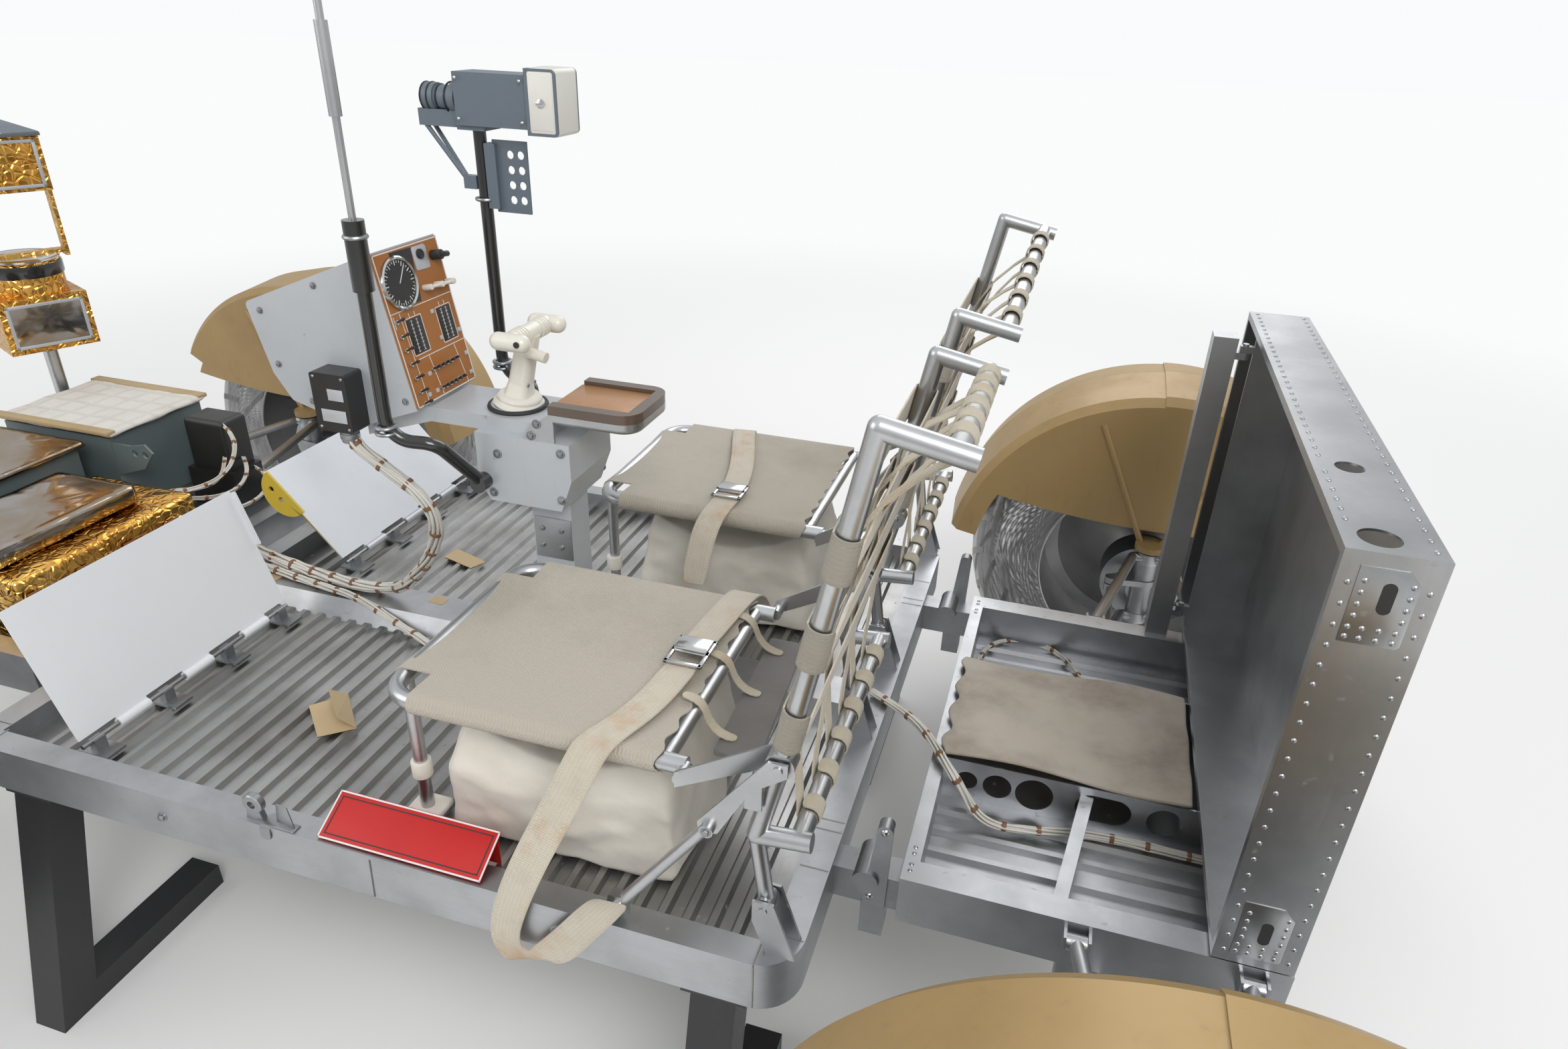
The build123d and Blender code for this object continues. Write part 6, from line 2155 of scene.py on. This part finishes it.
@dataclass
class Chassis(Assembly):
    """Welds, rivets, lugs and loose signs on the chassis."""

    rail_top: float = 0.52
    rail_side: float = 0.6
    floor_cards: tuple[tuple[str, float, Route], ...] = (
        ("card_flat", 0.0008,
         ((0.268, 0.318, 0.4886), (0.226, 0.268, 0.4886), (0.152, 0.342, 0.4886), (0.198, 0.382, 0.4886))),
        ("card_flap", 0.0008,
         ((0.226, 0.268, 0.489), (0.152, 0.342, 0.489), (0.172, 0.36, 0.52), (0.24, 0.296, 0.516))),
        ("card_olive", 0.001,
         ((0.345, -0.255, 0.4886), (0.255, -0.225, 0.4886), (0.27, -0.19, 0.4886), (0.352, -0.214, 0.4886))),
    )
    sign_lines: tuple[tuple[str, Surface, float, float], ...] = (
        ("sign_edge", Surface.DIAL, 0.0014, 0.0024), ("sign_border", Surface.BLACK, 0.0085, 0.0018),
    )
    clip: Pairs = (
        (0.575, 0.5212), (0.59, 0.5215), (0.6008, 0.5205), (0.6018, 0.512), (0.6018, 0.497),
    )
    stickers: Pairs = ((0.231, -0.018), (0.599, 0.02))
    sticker_outline: Pairs = (
        (-0.017, -0.011), (0.015, -0.013), (0.017, 0.01), (-0.015, 0.012),
    )

    def sign(self) -> None:
        """Stand the blank red sign on the near rail, its foot on the floor."""
        low = [Vector((0.018, 0.5945, 0.5215)), Vector((-0.246, 0.5945, 0.5215))]
        high = [Vector((-0.243, 0.5285, 0.552)), Vector((0.021, 0.5285, 0.552))]
        face = (low[1] - low[0]).cross(high[0] - low[1]).normalized()
        if face.z < 0:
            face = -face
        plate = Bench.plate("sign_plate", low + high, face * 0.0024, 0.0008)
        foot = Bench.block("sign_foot", (-0.235, 0.5265, 0.4888), (0.013, 0.5287, 0.552), 0.0006)
        self.dress(Bench.join("sign_red", [plate, foot]), Surface.RED)
        middle = (low[0] + low[1] + high[0] + high[1]) / 4
        along = (low[0] - low[1]).normalized()
        up = (high[0] - low[1]).normalized()
        lift = 0.0024
        for name, surface, inset, width in self.sign_lines:
            wide, tall = 0.132 - inset, (high[0] - low[1]).length / 2 - inset
            turns = ((1, 1), (-1, 1), (-1, -1), (1, -1))
            corners = [middle + along * a * wide + up * b * tall + face * lift for a, b in turns]
            bars = []
            for start, end in zip(corners, corners[1:] + corners[:1]):
                run = (end - start).normalized() * width / 2
                side = run.cross(face)
                bars.append([start - run + side, end + run + side, end + run - side, start - run - side])
            self.strips(name, bars, face * 0.0003, surface)

    def lugs(self) -> None:
        """Fit the ring lug, the clip and the bent tab on the near rail."""
        section = [(0.0065, -0.006), (0.015, -0.006), (0.0165, -0.0045), (0.0165, 0.0045), (0.015, 0.006),
                   (0.0065, 0.006)]
        ring = Bench.turned("rail_ring", section, (0.126, 0.588, 0.5485), (0, 1, 0), 28)
        stem = Bench.plate(
            "rail_stem",
            [(0.112, 0.583, 0.5195), (0.142, 0.583, 0.5195), (0.137, 0.583, 0.54), (0.116, 0.583, 0.54)],
            Vector((0, 0.01, 0)), 0.001,
        )
        run = [(0.104, y, z) for y, z in self.clip]
        clip = Bench.strap("rail_clip", run, (1, 0, 0), 0.018, 0.0018, 1)
        tab = Bench.plate(
            "rail_tab",
            [(0.094, 0.585, 0.5195), (0.058, 0.59, 0.52), (0.068, 0.587, 0.556), (0.088, 0.585, 0.556)],
            Vector((0, 0.0022, 0)), 0.0008,
        )
        shelf = Bench.block("rail_shelf", (0.055, 0.583, 0.5198), (0.122, 0.5985, 0.5222), 0.0008)
        self.dress(Bench.join("rail_lugs", [ring, stem, clip, tab, shelf]), Surface.ZINC)

    def welds(self) -> None:
        """Run weld beads along the rails' joints."""
        beads = []
        for end in (-1, 1):
            for side in (-1, 1):
                for y in (0.322, 0.343, 0.42, 0.545):
                    beads.append(
                        [(end * 0.65, side * y, self.rail_top), (end * 0.691, side * y, self.rail_top)]
                    )
                corner = end * 0.64
                beads.append(
                    [(corner, side * 0.556, self.rail_top), (corner, side * 0.6, self.rail_top - 0.0005)]
                )
                beads.append([(corner, side * self.rail_side, 0.518), (corner, side * self.rail_side, 0.44)])
                beads.append([(-0.072, side * self.rail_side, 0.512), (-0.068, side * self.rail_side, 0.44)])
        pieces = [Bench.line(f"rail_bead_{index}", path, 0.0013, 1, 2) for index, path in enumerate(beads)]
        self.dress(Bench.join("rail_beads", pieces), Surface.WELD)

    def fastenings(self) -> None:
        """Set the rivets and bolts that hold plates, hinges and braces."""
        rivets = [
            ((end * 0.8, side * y, self.rail_top), (0, 0, 1))
            for end in (-1, 1)
            for side in (-1, 1)
            for y in (0.335, 0.347, 0.369, 0.381)
        ]
        self.rivets("flange_rivets", rivets, 0.0034, Surface.FRAME)
        pins = []
        for end in (-1, 1):
            for side in (-1, 1):
                pins.append(((end * 0.763, side * 0.4062, 0.602), (0, side, 0)))
                pins.append(((end * 0.748, side * 0.399, 0.47), (0, side, 0)))
        self.rivets("lever_pins", pins, 0.006, Surface.CHROME, slot="zinc_fittings")
        knees = []
        for side in (-1, 1):
            for x, z in ((-0.447, 0.54), (-0.572, 0.712)):
                knees.append(((x, side * 0.5868, z), (0, side, 0)))
        self.bolts("brace_bolts", knees, 0.005, Surface.ZINC)
        side_bolts = [
            ((x, self.rail_side * side, 0.478), (0, side, 0)) for side in (-1, 1) for x in (-0.36, 0.3)
        ]
        self.bolts("rail_bolts", side_bolts, 0.0055, Surface.ZINC)

    def cards(self) -> None:
        """Lay the blank cards and stickers."""
        outlines = [[(x + a, y + b, 0.5148) for a, b in self.sticker_outline] for x, y in self.stickers]
        self.strips("beam_stickers", outlines, Vector((0, 0, 0.0008)), Surface.CARD)
        pieces = [
            Bench.plate(name, outline, Vector((0, 0, gauge))) for name, gauge, outline in self.floor_cards
        ]
        self.dress(Bench.join("floor_cards", pieces), Surface.CARD)

    def cuffs(self) -> None:
        """Wrap the feet of the front seat legs in pale pads."""
        pads = []
        for side in (-1, 1):
            for y in (0.19, 0.468):
                pads.append(Bench.block(
                    f"leg_cuff_{len(pads)}", (-0.104, side * y - 0.026, 0.4882),
                    (-0.048, side * y + 0.026, 0.501), 0.005, 3,
                ))
                pads.append(Bench.rod(
                    f"leg_sleeve_{len(pads)}", (-0.0755, side * y, 0.56),
                    (-0.0755, side * y, 0.588), 0.0152, 24, 0.002,
                ))
        self.dress(Bench.join("leg_cuffs", pads), Surface.BAG)

    def latch(self) -> None:
        """Cover the right footrest's latch plate in yellow, with a skin taken from the footrest itself."""
        node = bpy.data.objects["footrest_right"]
        copy = node.copy()
        copy.data = node.data.copy()
        bpy.context.collection.objects.link(copy)
        copy.name = copy.data.name = "latch_yellow"
        Bench.weld(copy)
        Bench.cut(copy, lambda middle: middle.y < -0.0925 or middle.z < 0.56)
        bpy.ops.object.mode_set(mode="EDIT")
        bpy.ops.mesh.select_all(action="SELECT")
        bpy.ops.transform.shrink_fatten(value=0.0005)
        bpy.ops.object.mode_set(mode="OBJECT")
        self.dress(copy, Surface.YELLOW, "footrest_right", smooth=0.5)

    def build(self) -> None:
        """Fit the chassis."""
        self.sign()
        self.lugs()
        self.welds()
        self.fastenings()
        self.cards()
        self.cuffs()
        self.latch()


@dataclass
class Pallet(Assembly):
    """Rivets and corner plates of the tool pallet, with black plates as painted shade in the slots."""

    near_x: float = -1.209
    far_x: float = -1.286
    side_y: tuple[float, float] = (-0.545, 0.404)
    foot_z: float = 0.526
    top_z: float = 1.128
    pitch: float = 0.026
    skin_x: float = -1.297
    inset: float = 0.013
    start: float = 0.018
    holes: Pairs = ((-1.24, 0.176), (-1.236, 0.368))
    clear: float = 0.034
    slot_x: float = -1.249
    slot_radius: float = 0.0072
    slot_half: float = 0.0115
    gussets: tuple[tuple[float, float, float], ...] = ((1.02, 1.112, 1.0775), (0.54, 0.632, 0.586))

    def build(self) -> None:
        """Rivet the pallet's edges and fit its corner plates."""
        body = "tool_pallet"
        places: list[tuple[Point, Point]] = []
        rows = int((self.side_y[1] - self.side_y[0] - 0.03) / self.pitch)
        for step in range(rows + 1):
            y = self.side_y[0] + self.start + step * self.pitch
            for x in (self.near_x, self.far_x):
                if min(math.dist((x, y), hole) for hole in self.holes) > self.clear:
                    places.append(((x, y, self.top_z), (0, 0, 1)))
            places.append(((self.skin_x, y, self.top_z - self.inset), (-1, 0, 0)))
            places.append(((self.skin_x, y, self.foot_z + self.inset), (-1, 0, 0)))
        columns = int((self.top_z - self.foot_z - 0.03) / self.pitch)
        for step in range(columns + 1):
            z = self.foot_z + self.start + step * self.pitch
            for x in (self.near_x, self.far_x):
                places.append(((x, self.side_y[1], z), (0, 1, 0)))
                places.append(((x, self.side_y[0], z), (0, -1, 0)))
            places.append(((self.skin_x, self.side_y[1] - self.inset, z), (-1, 0, 0)))
            places.append(((self.skin_x, self.side_y[0] + self.inset, z), (-1, 0, 0)))
        plates, slots = [], []
        for low, high, middle in self.gussets:
            outline = [(-1.216, low), (-1.272, low), (-1.276, low + 0.004), (-1.276, high - 0.016),
                       (-1.262, high), (-1.216, high)]
            plates.append([(x, self.side_y[1] - 0.0001, z) for x, z in outline])
            rim = []
            for step in range(20):
                angle = math.tau * step / 20
                x = self.slot_x + self.slot_radius * math.cos(angle)
                half = self.slot_half if math.sin(angle) > 0 else -self.slot_half
                rim.append((x, self.side_y[1] + 0.0013, middle + self.slot_radius * math.sin(angle) + half))
            slots.append(rim)
            for x in (-1.222, -1.236, -1.252, -1.268):
                for z in (low + 0.007, low + 0.019):
                    places.append(((x, self.side_y[1] + 0.001, z), (0, 1, 0)))
            for z in (low + 0.033, low + 0.047, low + 0.061, low + 0.075):
                for x in (-1.224, -1.27):
                    places.append(((x, self.side_y[1] + 0.001, min(z, high - 0.01)), (0, 1, 0)))
        self.strips("pallet_gussets", plates, Vector((0, 0.0014, 0)), Surface.PALLET, body, 0.0004)
        # Black stadiums on the corner plates are painted shade in the slots' openings.
        self.strips("pallet_slot_shade", slots, Vector((0, 0.0004, 0)), Surface.BLACK, body)
        self.rivets("pallet_rivets", places, 0.0033, Surface.PALLET, body)


@dataclass
class SmallLeads(Bundles):
    """Single leads and the second bundle, which have no solids in the source."""

    floor_route: Route = (
        (0.789, -0.012, 0.531), (0.722, -0.012, 0.526), (0.69, -0.01, 0.5255), (0.64, -0.002, 0.5245),
        (0.59, 0.006, 0.524), (0.53, 0.014, 0.524), (0.461, 0.026, 0.524), (0.394, 0.032, 0.5235),
        (0.33, 0.046, 0.513), (0.262, 0.066, 0.501), (0.19, 0.092, 0.4975), (0.11, 0.128, 0.4965),
        (0.03, 0.15, 0.4965), (-0.06, 0.185, 0.4965), (-0.13, 0.235, 0.497), (-0.2, 0.26, 0.5),
    )
    singles: tuple[Route, ...] = (
        ((-0.835, -0.15, 0.525), (-0.832, -0.172, 0.518), (-0.826, -0.2, 0.49), (-0.822, -0.24, 0.456),
         (-0.826, -0.3, 0.4535), (-0.848, -0.345, 0.4535), (-0.888, -0.368, 0.4535), (-0.945, -0.366, 0.4535),
         (-0.99, -0.33, 0.4535), (-1.02, -0.27, 0.4535), (-1.04, -0.21, 0.48), (-1.046, -0.17, 0.515),
         (-1.049, -0.15, 0.525)),
        ((0.9, -0.06, 0.6), (0.896, -0.085, 0.598), (0.886, -0.13, 0.58), (0.88, -0.18, 0.568),
         (0.884, -0.23, 0.57), (0.905, -0.275, 0.586), (0.94, -0.3, 0.6)),
        ((0.93, -0.06, 0.615), (0.926, -0.085, 0.613), (0.918, -0.13, 0.595), (0.918, -0.19, 0.585),
         (0.934, -0.236, 0.596), (0.96, -0.27, 0.615)),
        ((0.87, -0.06, 0.57), (0.862, -0.09, 0.568), (0.85, -0.15, 0.545), (0.846, -0.22, 0.538),
         (0.862, -0.28, 0.544), (0.9, -0.315, 0.558), (0.94, -0.325, 0.568)),
        ((0.95, -0.275, 0.69), (0.92, -0.262, 0.686), (0.885, -0.235, 0.66), (0.868, -0.19, 0.63),
         (0.872, -0.14, 0.615), (0.89, -0.09, 0.615), (0.905, -0.06, 0.62)),
    )

    def build(self) -> None:
        """Lay the second bundle and the single leads."""
        self.bundle("floor_bundle_core", self.floor_route, 0.003, 0.0024, 6, 0.0056)
        for index, route in enumerate(self.singles):
            self.bundle(f"single_{index}_core", route, 0.0024, 0.0018, 3, 0.0034, tie_pitch=0.045)


@dataclass
class Television(Assembly):
    """Frames, drum cap and lid of the foil-covered television unit."""

    axis: tuple[float, float] = (1.452, -0.3)
    yaw: float = math.radians(-24.0)
    base: float = 0.82
    tilt: float = 1.195

    def yawed(self, piece: Piece) -> Piece:
        """Turn a piece about the unit's upright axis, as the unit stands.

        Args:
            piece: the piece, modelled square to the vehicle.

        Returns:
            The piece.
        """
        Bench.pick(piece)
        middle = Vector((*self.axis, 0.0))
        turn = Matrix.Rotation(self.yaw, 4, "Z")
        piece.matrix_world = Matrix.Translation(middle) @ turn @ Matrix.Translation(-middle)
        return Bench.settle(piece.name)

    def frame_bars(
        self, name: str, face: float, low: float, high: float, near: float, far: float
    ) -> list[Piece]:
        """Four bars round a panel on the unit's rear face.

        Args:
            name: the bars' name.
            face: the face's place along X.
            low: the panel's foot.
            high: the panel's top.
            near: its left edge.
            far: its right edge.

        Returns:
            The bars.
        """
        thick, proud = 0.007, 0.0032
        spans = (
            (near, far, low, low + thick), (near, far, high - thick, high),
            (near, near + thick, low, high), (far - thick, far, low, high),
        )
        return [
            Bench.block(f"{name}_{index}", (face - proud, y0, z0), (face + 0.001, y1, z1), 0.001)
            for index, (y0, y1, z0, z1) in enumerate(spans)
        ]

    def build(self) -> None:
        """Fit the pieces of the head and of its camera."""
        x, y = self.axis
        base, tilt = self.base, self.tilt
        box = self.frame_bars("tv_frame", x - 0.075, base + 0.012, base + 0.112, y - 0.078, y + 0.078)
        lens = self.frame_bars("tv_camera_frame", x - 0.0905, tilt - 0.012, tilt + 0.088, y - 0.07, y + 0.07)
        self.dress(self.yawed(Bench.join("tv_box_frame", box)), Surface.SILVER, "tv_head")
        self.dress(self.yawed(Bench.join("tv_camera_frame", lens)), Surface.SILVER, "tv_camera")
        low, high = (x - 0.0762, y - 0.071, base + 0.019), (x - 0.074, y + 0.071, base + 0.105)
        pane = Bench.block("tv_pane", low, high, 0.0006)
        self.dress(self.yawed(pane), Surface.MIRROR, "tv_head")
        band = [
            (0.0735, 0.0), (0.0768, 0.0), (0.0775, 0.003), (0.0775, 0.025), (0.0768, 0.028), (0.0735, 0.028)
        ]
        drum = Bench.turned("tv_band", band, (x, y, self.base + 0.166), (0, 0, 1), 56)
        self.dress(drum, Surface.GLOSS_BLACK, "tv_head")
        cap_section = [
            (0.0, 0.0), (0.0752, 0.0), (0.0752, 0.004), (0.07, 0.0068), (0.06, 0.0062), (0.0, 0.0062)
        ]
        cap = Bench.turned("tv_cap", cap_section, (x, y, self.base + 0.2005), (0, 0, 1), 56)
        self.dress(cap, Surface.CHROME, "tv_head")
        low, high = (x - 0.1045, y - 0.0815, tilt + 0.0955), (x + 0.3005, y + 0.0815, tilt + 0.1046)
        lid = Bench.block("tv_lid", low, high, 0.002)
        self.dress(self.yawed(lid), Surface.CAMERA, "tv_camera")
        ring_section = [(0.03, 0.0), (0.0392, 0.0), (0.0392, 0.012), (0.036, 0.014), (0.03, 0.01)]
        ring = Bench.turned("tv_lens_ring", ring_section, (x + 0.305, y, self.tilt + 0.04), (1, 0, 0), 36)
        self.dress(self.yawed(ring), Surface.GLOSS_BLACK, "tv_camera")
        collar = Bench.ring("tv_collar", (x, y, self.base - 0.012), (0, 0, 1), 0.019, 0.006, 32)
        self.dress(collar, Surface.ZINC)


def main() -> None:
    """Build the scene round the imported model."""
    logging.basicConfig(level=logging.INFO, format="%(message)s")
    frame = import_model()
    Studio().build()
    shop = Shop()
    dress_nodes(frame, shop)
    assemblies = (
        Harnesses, SmallLeads, Seats, Belts, FrontBay, Television, AftBay, Pallet, CrewStation, Chassis,
        Running,
    )
    for assembly in assemblies:
        assembly(shop).build()


if __name__ == "__main__":
    main()
